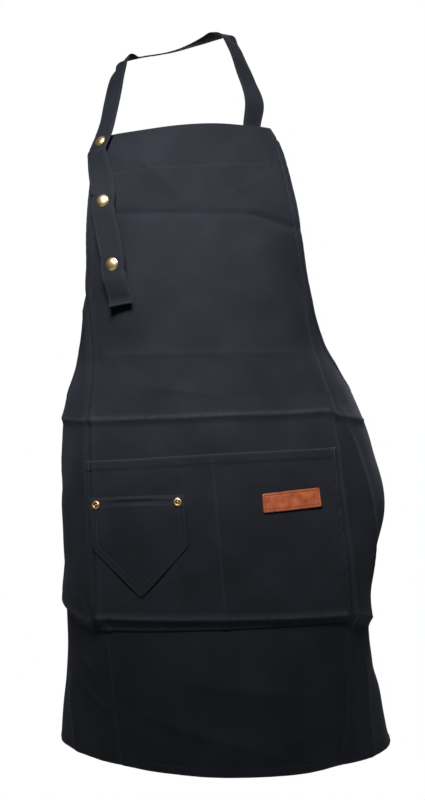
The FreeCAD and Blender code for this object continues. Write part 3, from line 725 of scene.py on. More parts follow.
def closed_sheet(name: str, outer: Array, inner: Array, flat: Array, wear: Array,
                 material: bpy.types.Material) -> bpy.types.Object:
    """Closed sheet of cloth between two grids, with a rounded edge all round.

    Args:
        name: name of the piece.
        outer: grid of points on the outer face, rows by columns by 3.
        inner: the same on the inner face.
        flat: flat places of the grid.
        wear: wear of the grid.
        material: its finish.

    Returns:
        The new object.
    """
    rows, columns = outer.shape[:2]
    count = rows * columns
    a, b = outer.reshape(-1, 3), inner.reshape(-1, 3)
    edge = border_of(rows, columns)
    i, j = np.unravel_index(edge, (rows, columns))
    within = np.clip(i, 1, rows - 2) * columns + np.clip(j, 1, columns - 2)
    middle = (a[edge] + b[edge]) / 2
    away = unit(middle - (a[within] + b[within]) / 2)
    thick = np.linalg.norm(a[edge] - b[edge], axis=1, keepdims=True)
    rim = middle + away * thick * 0.42
    points = np.concatenate([a, b, rim])
    spots = flat.reshape(-1, 2)
    worn = wear.reshape(-1)
    edge_wear = np.maximum(worn[edge], 0.3)
    number = np.arange(count).reshape(rows, columns)
    quads = np.stack([number[:-1, :-1], number[1:, :-1], number[1:, 1:], number[:-1, 1:]],
                     -1).reshape(-1, 4)
    ring = np.arange(len(edge))
    following = np.roll(ring, -1)
    front = np.stack([edge, edge[following], 2 * count + following, 2 * count + ring], -1)
    back = np.stack([2 * count + ring, 2 * count + following, count + edge[following],
                     count + edge], -1)
    faces = np.concatenate([quads, quads[:, ::-1] + count, front, back]).tolist()
    return make_mesh(name, points, faces, material, np.concatenate([spots, spots, spots[edge]]),
                     np.concatenate([worn, worn * 0, edge_wear]))


def swept(name: str, rings: Array, flat: Array, wear: Array,
          material: bpy.types.Material) -> bpy.types.Object:
    """Closed band through rings of points, with its two ends filled.

    Args:
        name: name of the piece.
        rings: stations by ring points by 3.
        flat: flat places of the same points.
        wear: wear of the same points.
        material: its finish.

    Returns:
        The new object.
    """
    stations, around = rings.shape[:2]
    number = np.arange(stations * around).reshape(stations, around)
    turned = np.roll(number, -1, axis=1)
    sides = np.stack([number[:-1], turned[:-1], turned[1:], number[1:]], -1).reshape(-1, 4)
    half = around // 2
    caps = []
    for row, flip in ((number[0], True), (number[-1], False)):
        for k in range(half - 1):
            cap = [row[k], row[k + 1], row[around - 2 - k], row[around - 1 - k]]
            caps.append(cap[::-1] if flip else cap)
    faces = sides.tolist() + [[int(n) for n in cap] for cap in caps]
    made = make_mesh(name, rings.reshape(-1, 3), faces, material, flat.reshape(-1, 2),
                     wear.reshape(-1))
    return made


def turned_piece(name: str, profile: Sequence[tuple[float, float, float]], foot: Array,
                 outward: Array, material: bpy.types.Material) -> bpy.types.Object:
    """Piece turned on a lathe about its own axis.

    Args:
        name: name of the piece.
        profile: radius, height and wear of each corner, from the axis round to the axis.
        foot: where height 0 lies, in mm.
        outward: unit direction of the axis.
        material: its finish.

    Returns:
        The new object.
    """
    around = 56
    angle = np.arange(around) * 2 * math.pi / around
    side = unit(np.cross(outward, [0.0, 0.0, 1.0]))
    other = np.cross(outward, side)
    ring = np.cos(angle)[:, None] * side + np.sin(angle)[:, None] * other
    inner = [corner for corner in profile if corner[0] > 0]
    points = [foot + outward * profile[0][1]]
    flat = [(0.0, 0.0)]
    wear = [profile[0][2]]
    for radius, rise, worn in inner:
        points.extend(foot + outward * rise + ring * radius)
        flat.extend(zip(np.cos(angle) * radius, np.sin(angle) * radius))
        wear.extend([worn] * around)
    points.append(foot + outward * profile[-1][1])
    flat.append((0.0, 0.0))
    wear.append(profile[-1][2])
    last = len(points) - 1
    faces = []
    for k in range(around):
        n = (k + 1) % around
        faces.append([0, 1 + n, 1 + k])
        for row in range(len(inner) - 1):
            a, b = 1 + row * around, 1 + (row + 1) * around
            faces.append([a + k, a + n, b + n, b + k])
        a = 1 + (len(inner) - 1) * around
        faces.append([a + k, a + n, last])
    made = make_mesh(name, np.array(points), faces, material, np.array(flat), np.array(wear))
    return made


def stitched(name: str, runs: Sequence[tuple[Array, Array, Array]], radius: float,
             material: bpy.types.Material) -> bpy.types.Object:
    """Rows of stitches, each a short thread that dips into the cloth at both its ends.

    Args:
        name: name of the piece.
        runs: for each row the stitches' start points, end points and outward directions, in mm.
        radius: half the thread's thickness.
        material: the thread's finish.

    Returns:
        The new object.
    """
    starts = np.concatenate([run[0] for run in runs])
    ends = np.concatenate([run[1] for run in runs])
    outward = np.concatenate([run[2] for run in runs])
    along = ends - starts
    side = unit(np.cross(along, outward))
    around, stations = 6, 7
    shares = np.linspace(0, 1, stations)
    angle = np.arange(around) * 2 * math.pi / around
    points, flat = [], []
    for share in shares:
        fat = radius * (0.35 + 0.65 * math.sin(math.pi * share) ** 0.5)
        rise = radius * 1.1 * math.sin(math.pi * share) - radius * 0.9
        middle = starts + along * share + outward * rise
        for turn in angle:
            points.append(middle + side * (fat * math.cos(turn)) + outward * (fat * math.sin(turn)))
            flat.append(np.stack([np.full(len(starts), share * 2.6),
                                  np.full(len(starts), turn * radius)], -1))
    block = np.stack(points, 1).reshape(-1, 3)
    spots = np.stack(flat, 1).reshape(-1, 2)
    number = np.arange(stations * around).reshape(stations, around)
    turned = np.roll(number, -1, axis=1)
    sides = np.stack([number[:-1], number[1:], turned[1:], turned[:-1]], -1).reshape(-1, 4).tolist()
    template = sides + [number[0].tolist(), number[-1, ::-1].tolist()]
    step = stations * around
    faces = [[corner + step * k for corner in face] for k in range(len(starts))
             for face in template]
    return make_mesh(name, block, faces, material, spots)


def stitch_row(line: Sequence[tuple[float, float]], lift: Lift, pitch: float = 3.2,
               stitch: float = 2.5) -> tuple[Array, Array, Array]:
    """Stitches along a line on the cloth.

    Args:
        line: flat places that the row goes through.
        lift: how far the cloth's outer face stands off the bare surface.
        pitch: mm from stitch to stitch.
        stitch: mm of thread that shows in each.

    Returns:
        Start points, end points and outward directions.
    """
    corners = np.array(line, float)
    run = run_along(corners)
    starts = np.arange(pitch / 2, run[-1] - stitch, pitch)

    def place(distance: Array) -> tuple[Array, Array]:
        """Flat places at distances along the row.

        Args:
            distance: distances from the start, in mm.

        Returns:
            Flat places.
        """
        s, v = points_at(distance, run, corners).T
        return s, v

    a, b = place(starts), place(starts + stitch)
    middle = place(starts + stitch / 2)
    outward = DRAPE.directions(*middle)[2]
    return DRAPE.lifted(*a, lift(*a)), DRAPE.lifted(*b, lift(*b)), outward


def bar_tack(place: tuple[float, float], across: tuple[float, float], lift: Lift,
             length: float = 9.0, width: float = 2.2) -> tuple[Array, Array, Array]:
    """Close zigzag bar that ends a seam.

    Args:
        place: flat place of its middle.
        across: direction of its stitches on the flat cloth, of unit length.
        lift: how far the cloth's outer face stands off the bare surface.
        length: mm of the bar.
        width: mm of its stitches.

    Returns:
        Start points, end points and outward directions.
    """
    along = np.array([-across[1], across[0]])
    places = np.arange(-length / 2, length / 2, 0.55)
    middle = np.array(place) + places[:, None] * along
    a, b = middle - np.array(across) * width / 2, middle + np.array(across) * width / 2
    outward = DRAPE.directions(middle[:, 0], middle[:, 1])[2]
    first = DRAPE.lifted(a[:, 0], a[:, 1], lift(a[:, 0], a[:, 1]))
    second = DRAPE.lifted(b[:, 0], b[:, 1], lift(b[:, 0], b[:, 1]))
    return first, second, outward


def smooth_route(knots: Sequence[tuple[Sequence[float], Sequence[float]]],
                 per_span: int) -> tuple[Array, Array, Array]:
    """Smooth route of a band through its knots.

    Args:
        knots: place of the band's middle and direction to its edge, for each knot.
        per_span: stations from one knot to the next.

    Returns:
        Places, edge directions and face directions of all stations.
    """
    values = np.array([[*place, *edge] for place, edge in knots], float)
    run = run_along(values[:, :3])
    before = np.maximum(np.arange(len(values)) - 1, 0)
    after = np.minimum(np.arange(len(values)) + 1, len(values) - 1)
    slope = (values[after] - values[before]) / (run[after] - run[before])[:, None]
    track = []
    for k, span in enumerate(np.linalg.norm(np.diff(values[:, :3], axis=0), axis=1)):
        last = k == len(values) - 2
        for t in np.linspace(0, 1, per_span + 1)[:per_span + last]:
            ends = values[k] * (1 + 2 * t) * (1 - t) ** 2 + values[k + 1] * (3 - 2 * t) * t * t
            lean = slope[k] * t * (1 - t) ** 2 - slope[k + 1] * t * t * (1 - t)
            track.append(ends + lean * span)
    track = np.array(track)
    places, edges = track[:, :3], track[:, 3:]
    along = unit(np.gradient(places, axis=0))
    edges = unit(edges - along * np.sum(edges * along, axis=1, keepdims=True))
    return places, edges, np.cross(along, edges)


@dataclass
class SewnBand:
    """Strap or tie of folded canvas, sewn along both its edges."""

    name: str
    route: tuple[Array, Array, Array]
    width: float
    thickness: float
    seam: float = 3.0              # mm from the edge to the row of stitches
    uneven: float = 0.35           # mm that the hand-fed seam leaves it out of true
    taper: Array | None = None     # share of the full width at each station
    phase: float = 0.0

    def _section(self) -> tuple[Array, Array]:
        """Across and height of one section's points, once round, as shares and mm.

        Returns:
            Places across as shares, and heights in mm.
        """
        across = np.sin(np.linspace(-math.pi / 2, math.pi / 2, 25))
        body = np.sqrt(np.clip(1 - np.abs(across) ** 14, 0, 1))
        seam = 1 - 2 * self.seam / self.width
        groove = 0.22 * bell((np.abs(across) - seam) * self.width / 2, 0.9)
        height = self.thickness / 2 * body - groove
        return (np.concatenate([across, across[-2:0:-1]]),
                np.concatenate([height, -height[-2:0:-1]]))

    def length(self) -> float:
        """Length along the band's middle, in mm."""
        return float(run_along(self.route[0])[-1])

    def _wave(self, run: Array, across: Array) -> Array:
        """Small unevenness of the band's face.

        Args:
            run: distance from the start, in mm.
            across: place across, as a share of half the width.

        Returns:
            Heights in mm.
        """
        first = np.sin(run / 17.0 + self.phase + across * 0.8)
        second = np.sin(run / 7.3 + self.phase * 2 - across * 1.4)
        return self.uneven * (0.7 * first + 0.3 * second)

    def build(self) -> bpy.types.Object:
        """Make the band's cloth.

        Returns:
            The new object.
        """
        places, edges, faces = self.route
        run = run_along(places)
        across, height = self._section()
        share = np.ones(len(run)) if self.taper is None else self.taper
        reach = self.width / 2 * share[:, None] * across[None, :]
        rise = height[None, :] + self._wave(run[:, None], across[None, :])
        rings = (places[:, None] + edges[:, None] * reach[..., None]
                 + faces[:, None] * rise[..., None])
        flat = np.stack(np.broadcast_arrays(reach, run[:, None]), -1)
        wear = np.broadcast_to(0.6 * (np.abs(across) > 0.985), reach.shape)
        return swept(self.name, rings, flat, wear, CANVAS)

    def stitch_runs(self, skip: float = 2.0) -> list[tuple[Array, Array, Array]]:
        """Rows of stitches along both edges, on both faces.

        Args:
            skip: mm left free at both ends.

        Returns:
            The rows, ready for stitched().
        """
        places, _, faces = self.route
        run = run_along(places)
        pitch, stitch = 3.2, 2.4
        starts = np.arange(skip, run[-1] - skip - stitch, pitch)

        def on_band(distance: Array, across: float, face: int) -> Array:
            """Places on the band's face at distances along it.

            Args:
                distance: distances from the start, in mm.
                across: place across, as a share of half the width.
                face: 1 for the outer face, -1 for the inner one.

            Returns:
                Places in mm.
            """
            point, edge, up = (points_at(distance, run, part) for part in self.route)
            share = 1.0 if self.taper is None else np.interp(distance, run, self.taper)[:, None]
            rise = face * (self.thickness / 2 - 0.2) + self._wave(distance, np.array(across))
            return point + edge * across * self.width / 2 * share + up * rise[:, None]

        rows = []
        seam = 1 - 2 * self.seam / self.width
        for across in (-seam, seam):
            for face in (-1, 1):
                first = on_band(starts, across, face)
                second = on_band(starts + stitch, across, face)
                rows.append((first, second, points_at(starts, run, faces) * face))
        return rows


def lifted_sheet(name: str, s: Array, v: Array, lift: Array, under: Array,
                 worn: Array) -> bpy.types.Object:
    """Canvas sheet between two distances from the draped surface.

    Args:
        name: name of the piece.
        s: flat places sideways, in mm.
        v: flat places down, in mm.
        lift: distance of the outer face.
        under: distance of the inner face.
        worn: from 0 to 1, where the cloth is rubbed.

    Returns:
        The sheet.
    """
    outward = DRAPE.directions(s, v)[2]
    base = DRAPE.at(s, v)
    return closed_sheet(name, base + outward * lift[..., None],
                        base + outward * under[..., None], np.stack([s, v], -1), worn, CANVAS)


# ---- the apron's sub-assemblies ---------------------------------------------------------------


@dataclass
class Panel:
    """The apron's panel, bib and skirt in one cut, with its hems, and the facing behind the bib."""

    length: float = 750.0
    half_width: float = 340.0
    bib_half_width: float = 125.0
    armhole_depth: float = 325.0
    armhole_power: float = 3.0
    cloth: float = 0.8             # mm, one layer
    gap: float = 0.5               # mm of air between two layers
    hem: float = 10.0              # mm, twice-turned hem
    facing_depth: float = 50.0
    facing_inset: float = 3.0
    row_pitch: float = 2.0
    columns: int = 300

    def edge(self, v: Array) -> Array:
        """Half width of the panel at v: the armhole curve, then the straight side."""
        share = np.clip(1 - (np.asarray(v, float) / self.armhole_depth) ** self.armhole_power, 0, 1)
        return self.half_width - (self.half_width - self.bib_half_width) * np.sqrt(share)

    def rows(self) -> Array:
        """Heights of the mesh's rows, closer where the armhole swings out.

        Returns:
            Heights in mm, from the top edge down.
        """
        swing = 0.75
        start = math.asin(swing ** (self.armhole_power / 2))
        bib = np.arange(0, self.armhole_depth * swing, self.row_pitch)
        angle = np.linspace(start, math.pi / 2, 70)[:-1]
        turn = self.armhole_depth * np.sin(angle) ** (2 / self.armhole_power)
        skirt = np.linspace(self.armhole_depth, self.length, int(425 / self.row_pitch))
        return np.concatenate([bib, turn, skirt])

    def hem_line(self, inset: float) -> list[tuple[float, float]]:
        """The hemmed edge from the left bib corner round the skirt to the right one, drawn in.

        Args:
            inset: mm inside the edge.

        Returns:
            Flat places of the line.
        """
        angle = np.linspace(0.02, math.pi / 2, 90)
        v = self.armhole_depth * np.sin(angle) ** (2 / self.armhole_power)
        s = self.edge(v)
        run, drop = np.gradient(s), np.gradient(v)
        size = np.hypot(run, drop)
        s, v = s - drop / size * inset, v + run / size * inset
        keep = s < self.half_width - inset
        s, v = s[keep], v[keep]
        side = [(float(a), float(b)) for a, b in zip(s, v)]
        side += [(self.half_width - inset, self.armhole_depth + inset),
                 (self.half_width - inset, self.length - inset)]
        return [(-a, b) for a, b in side] + side[::-1]

    def from_hem(self, s: Array, v: Array) -> Array:
        """Distance on the flat cloth from the hemmed edge.

        Args:
            s: flat places sideways, in mm.
            v: flat places down, in mm.

        Returns:
            Distances in mm.
        """
        line = np.array(self.hem_line(0.0))
        run = run_along(line)
        line = points_at(np.arange(0, run[-1], 2.5), run, line)
        spots = np.stack([s.ravel(), v.ravel()], -1).astype(np.float32)
        far = np.full(len(spots), 1e9, np.float32)
        for start in range(0, len(line), 60):
            part = line[start:start + 60].astype(np.float32)
            apart = ((spots[:, None] - part[None]) ** 2).sum(-1).min(1)
            far = np.minimum(far, apart)
        return np.sqrt(far).reshape(s.shape)

    def surface(self, s: Array, v: Array) -> Array:
        """How far the outer face stands off the bare surface, away from the hem.

        Args:
            s: flat places sideways, in mm.
            v: flat places down, in mm.

        Returns:
            Lifts in mm.
        """
        facing_seam = -0.35 * bell(v - self.facing_depth, 1.6)
        pull = 0.16 * np.sin(s / 1.7) * bell(v - self.facing_depth, 7)
        return DRAPE.relief(s, v) + (facing_seam + pull) * (1 - DRAPE.fixed(s, v))

    def hem_puff(self, far: Array, along: Array) -> Array:
        """Shape of the hem on the outer face: a soft roll, its sewn groove, and small puckers.

        Args:
            far: distance from the hemmed edge, in mm.
            along: distance along the cloth, in mm.

        Returns:
            Lifts in mm.
        """
        roll = 0.45 * np.sin(math.pi * np.clip(far / (self.hem - 1), 0, 1))
        groove = -0.5 * bell(far - self.hem + 1, 1.5)
        pucker = 0.22 * np.sin(along / 2.1) * bell(far - self.hem + 1, 6)
        return roll + groove + pucker

    def build_panel(self) -> bpy.types.Object:
        """Make the panel's cloth, with its twice-turned hem.

        Returns:
            The panel.
        """
        v = self.rows()[:, None] * np.ones((1, self.columns))
        share = np.linspace(-1, 1, self.columns)[None, :]
        s = share * self.edge(v)
        far = self.from_hem(s, v)
        flatness = 1 - DRAPE.fixed(s, v)
        lift = self.surface(s, v) + self.hem_puff(far, s + v) * flatness
        turned = smooth_step((self.hem - far) / 0.8)
        under = self.cloth + 2 * self.cloth * turned * flatness
        worn = DRAPE.rubbed(s, v, PRESSED_FOLDS)
        worn = np.maximum(worn, 0.5 * smooth_step((3.0 - far) / 3.0))
        made = lifted_sheet("body_panel_cloth", s, v, lift, lift - under, worn)
        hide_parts("body_panel")
        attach(made, "apron")
        return made

    def build_facing(self) -> bpy.types.Object:
        """Make the facing band behind the bib's top edge.

        Returns:
            The facing.
        """
        v = np.arange(1.0, self.facing_depth + 0.1, 1.75)[:, None] * np.ones((1, 110))
        reach = self.edge(v) - self.facing_inset
        s = np.linspace(-1, 1, 110)[None, :] * reach
        wave = 0.12 * np.sin(s / 11) * (1 - DRAPE.fixed(s, v))
        lift = DRAPE.relief(s, v) - self.cloth - self.gap + wave
        made = lifted_sheet("bib_facing_cloth", s, v, lift, lift - self.cloth, s * 0)
        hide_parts("bib_facing")
        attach(made, "apron")
        return made

    def build_stitches(self) -> bpy.types.Object:
        """Make the hem's and the facing's rows of stitches.

        Returns:
            The stitches.
        """
        seam = self.hem_line(self.hem - 1.0)
        hem = stitch_row(seam, lambda s, v: self.surface(s, v) - 0.3)
        back = stitch_row(seam, lambda s, v: self.surface(s, v) - 0.3 - 3 * self.cloth)
        reach = float(self.edge(np.array([self.facing_depth]))[0]) - self.facing_inset
        line = [(-reach, self.facing_depth), (reach, self.facing_depth)]
        facing = stitch_row(line, lambda s, v: self.surface(s, v) + 0.05)
        made = stitched("hem_stitches", [hem, (back[0], back[1], -back[2]), facing], 0.27,
                        CLOTH_THREAD)
        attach(made, "apron")
        return made

    def build(self) -> list[bpy.types.Object]:
        """Make the whole panel."""
        return [self.build_panel(), self.build_facing(), self.build_stitches()]


@dataclass
class Pockets:
    """The wide front pocket, the small pointed pocket on it, and what closes their seams."""

    panel: Panel
    drop: float = 388.0
    depth: float = 193.0
    half_width: float = 150.0
    ease: float = 9.0
    mouth_hem: float = 12.0
    patch_drop: float = 42.0
    patch_inset: float = 4.0
    patch_width: float = 112.0
    patch_side: float = 57.0
    patch_depth: float = 112.0
    patch_ease: float = 7.6
    patch_tip: float = 1.5
    rivet_edge: float = 8.0
    rivet_radius: float = 4.9
    rivet_margin: float = 1.5
    seat_gap: float = 0.35

    @property
    def rivet_zone(self) -> float:
        """How far the cloth lies flat from a pocket's side, round its rivets."""
        return self.rivet_edge + self.rivet_radius + self.rivet_margin

    @property
    def patch_top(self) -> float:
        """Flat height of the small pocket's mouth."""
        return self.drop + self.patch_drop

    @property
    def patch_left(self) -> float:
        """Flat place of the small pocket's left side."""
        return self.patch_inset - self.half_width

    @property
    def patch_middle(self) -> float:
        """Flat place of the small pocket's middle."""
        return self.patch_left + self.patch_width / 2

    @staticmethod
    def opened(place: Array, reach: float) -> Array:
        """1 in the middle of an opening, falling smoothly to 0 at its seams."""
        return np.maximum(1 - (place / reach) ** 2, 0) ** 2

    @staticmethod
    def deepened(below: Array, depth: float) -> Array:
        """1 at a pocket's mouth, falling to 0 at its bottom."""
        return np.maximum(1 - (below / depth) ** 2, 0)

    def under(self, s: Array, v: Array) -> Array:
        """Underside of the wide pocket over the bare surface, without the folds.

        Args:
            s: flat places sideways, in mm.
            v: flat places down, in mm.

        Returns:
            Lifts in mm.
        """
        reach = self.half_width - self.patch_inset - self.rivet_zone
        down = self.deepened(v - self.drop, self.depth)
        return self.panel.gap + self.ease * self.opened(s, reach) * down

    def on_pocket(self, s: Array, v: Array) -> Array:
        """Underside of what is sewn on the wide pocket, without the folds."""
        return self.under(s, v) + self.panel.cloth + self.panel.gap

    def patch_under(self, s: Array, v: Array) -> Array:
        """Underside of the small pocket, without the folds.

        Args:
            s: flat places sideways, in mm.
            v: flat places down, in mm.

        Returns:
            Lifts in mm.
        """
        sideways = self.opened(s - self.patch_middle, self.patch_width / 2 - self.rivet_zone)
        down = self.deepened(v - self.patch_top, self.patch_depth)
        return self.on_pocket(s, v) + self.patch_ease * sideways * down

    def folds(self, s: Array, v: Array) -> Array:
        """How far the panel's folds and the pocket's own lift the pocket's cloth.

        Args:
            s: flat places sideways, in mm.
            v: flat places down, in mm.

        Returns:
            Lifts in mm.
        """
        lift = DRAPE.relief(s, v)
        for fold in POCKET_FOLDS:
            lift = lift + fold.height * fold.share(s, v) * (1 - DRAPE.fixed(s, v))
        return lift

    def surface(self, s: Array, v: Array) -> Array:
        """Outer face of the wide pocket over the bare surface.

        Args:
            s: flat places sideways, in mm.
            v: flat places down, in mm.

        Returns:
            Lifts in mm.
        """
        below = v - self.drop
        roll = 0.9 * smooth_step((self.mouth_hem - below) / 1.6)
        seam = -0.55 * bell(below - self.mouth_hem + 1, 1.3)
        pucker = 0.2 * np.sin(s / 1.9) * bell(below - self.mouth_hem + 1, 5)
        inside = np.minimum(self.half_width - np.abs(s), self.drop + self.depth - v)
        side = -0.4 * bell(inside - 2.5, 1.1)
        gather = 0.25 * np.sin(v / 2.3 + s / 2.3) * bell(inside - 3, 6)
        detail = (roll + seam + pucker + side + gather) * (1 - DRAPE.fixed(s, v))
        return self.under(s, v) + self.panel.cloth + self.folds(s, v) + detail

    def patch_surface(self, s: Array, v: Array) -> Array:
        """Outer face of the small pocket over the bare surface.

        Args:
            s: flat places sideways, in mm.
            v: flat places down, in mm.

        Returns:
            Lifts in mm.
        """
        below = v - self.patch_top
        roll = 0.9 * bell(below - 2.5, 2.4)
        roll = roll + 0.6 * bell(below - 10.5, 2.0)
        seam = -1.1 * bell(below - 6.5, 1.8)
        left, right = self.patch_edges(v)
        inside = np.minimum(s - left, right - s)
        side = -0.35 * bell(inside - 2.4, 1.0)
        detail = (roll + seam + side) * (1 - 0.8 * DRAPE.fixed(s, v))
        return self.patch_under(s, v) + self.panel.cloth + self.folds(s, v) + detail

    def patch_edges(self, v: Array) -> tuple[Array, Array]:
        """Side edges of the small pocket: straight, then drawn in to its point.

        Args:
            v: flat places down, in mm.

        Returns:
            Places of the left and the right edge.
        """
        below = np.maximum(v - self.patch_top - self.patch_side, 0)
        half = self.patch_width / 2
        half = half - (half - self.patch_tip) * below / (self.patch_depth - self.patch_side)
        return self.patch_middle - half, self.patch_middle + half

    def build_pocket(self) -> bpy.types.Object:
        """Make the wide pocket.

        Returns:
            The pocket.
        """
        v = np.linspace(self.drop, self.drop + self.depth, 130)[:, None] * np.ones((1, 190))
        s = np.linspace(-self.half_width, self.half_width, 190)[None, :] * np.ones((130, 1))
        lift = self.surface(s, v)
        turned = smooth_step((self.mouth_hem - (v - self.drop)) / 0.8) * (1 - DRAPE.fixed(s, v))
        under = lift - self.panel.cloth * (1 + turned)
        floor = self.under(s, v) + self.folds(s, v) - 0.12
        under = np.minimum(under, np.maximum(floor, under - self.panel.cloth))
        # The mouth's top edge is painted paler: partly rubbed wear, partly a painted highlight on
        # the folded edge.
        worn = np.maximum(DRAPE.rubbed(s, v, PRESSED_FOLDS + POCKET_FOLDS[:2]),
                          0.4 * smooth_step((2.5 - (v - self.drop)) / 2.5))
        made = lifted_sheet("front_pocket_cloth", s, v, lift, under, worn)
        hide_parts("front_pocket")
        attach(made, "apron")
        return made

    def build_patch(self) -> bpy.types.Object:
        """Make the small pocket, with its point.

        Returns:
            The small pocket.
        """
        v = np.linspace(self.patch_top, self.patch_top + self.patch_depth, 90)[:, None]
        v = v * np.ones((1, 90))
        left, right = self.patch_edges(v)
        s = left + (right - left) * np.linspace(0, 1, 90)[None, :]
        lift = self.patch_surface(s, v)
        # Both ridges of the mouth's roll are painted paler: partly rubbed wear, partly a painted
        # highlight on the rolled hem.
        worn = np.maximum(DRAPE.rubbed(s, v, POCKET_FOLDS[:2]),
                          0.5 * bell(v - self.patch_top - 2.5, 1.6))
        worn = np.maximum(worn, 0.3 * bell(v - self.patch_top - 10.5, 1.6))
        made = lifted_sheet("patch_pocket_cloth", s, v, lift, lift - self.panel.cloth, worn)
        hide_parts("patch_pocket")
        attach(made, "apron")
        return made

    def build_stitches(self) -> bpy.types.Object:
        """Make the pockets' seams and bar tacks.

        Returns:
            The stitches.
        """
        edge, bottom, inset = self.half_width, self.drop + self.depth, 2.5
        mouth = self.drop + self.mouth_hem - 1
        wide = self.surface
        runs = [stitch_row([(-edge + 2, mouth), (edge - 2, mouth)], wide)]
        outline = [(-edge + inset, self.drop + 2), (-edge + inset, bottom - inset),
                   (edge - inset, bottom - inset), (edge - inset, self.drop + 2)]
        runs.append(stitch_row(outline, wide))
        top, tip = self.patch_top, self.patch_top + self.patch_depth
        left, right = self.patch_left, self.patch_left + self.patch_width
        shoulder = top + self.patch_side
        for inset in (2.4, 7.5):
            line = [(left + inset, top + 1.5), (left + inset, shoulder - inset * 0.3),
                    (self.patch_middle, tip - inset * 1.4),
                    (right - inset, shoulder - inset * 0.3), (right - inset, top + 1.5)]
            runs.append(stitch_row(line, self.patch_surface))
        runs.append(stitch_row([(left + 3, top + 6.5), (right - 3, top + 6.5)], self.patch_surface))
        for side in Side:
            runs.append(bar_tack((side.value * (edge - 2.5), self.drop + 6.0), (1.0, 0.0), wide))
        made = stitched("pocket_stitches", runs, 0.27, CLOTH_THREAD)
        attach(made, "apron")
        return made

    def build_rivet(self, name: str, s: float) -> bpy.types.Object:
        """Make one domed rivet head with its shank.

        Args:
            name: "left" or "right".
            s: flat place sideways.

        Returns:
            The rivet.
        """
        v = self.patch_top + self.rivet_edge
        place = (np.array([s]), np.array([v]))
        outward = DRAPE.directions(*place)[2][0]
        head = float(self.patch_under(*place)[0]) + self.panel.cloth + self.seat_gap
        foot = DRAPE.at(*place)[0] + outward * (head - 0.25)
        radius, rise = self.rivet_radius, 2.0
        profile = [(0, 0, 1), (radius * 0.9, 0, 1), (radius, 0.35, 0.7)]
        for k in range(9):
            angle = math.pi * k / 16
            profile.append((radius * (0.62 + 0.38 * math.cos(angle)), 0.35 + (rise - 0.35)
                            * math.sin(angle), 0.35 - 0.3 * math.sin(angle)))
        profile += [(radius * 0.56, rise * 0.97, 0.1), (radius * 0.5, rise * 0.8, 0.9),
                    (radius * 0.4, rise * 0.55, 1.0), (radius * 0.26, rise * 0.47, 0.8),
                    (radius * 0.2, rise * 0.62, 0.45), (radius * 0.1, rise * 0.68, 0.4),
                    (0, rise * 0.69, 0.4)]
        made = turned_piece("rivet_head_" + name, profile, foot, outward, RIVET_BRASS)
        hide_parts("rivet_" + name)
        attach(made, "apron")
        return made

    def build(self) -> list[bpy.types.Object]:
        """Make both pockets, their seams and their rivets.

        Returns:
            The pieces.
        """
        made = [self.build_pocket(), self.build_patch(), self.build_stitches()]
        made.append(self.build_rivet("left", self.patch_left + self.rivet_edge))
        made.append(self.build_rivet("right", self.patch_left + self.patch_width - self.rivet_edge))
        return made


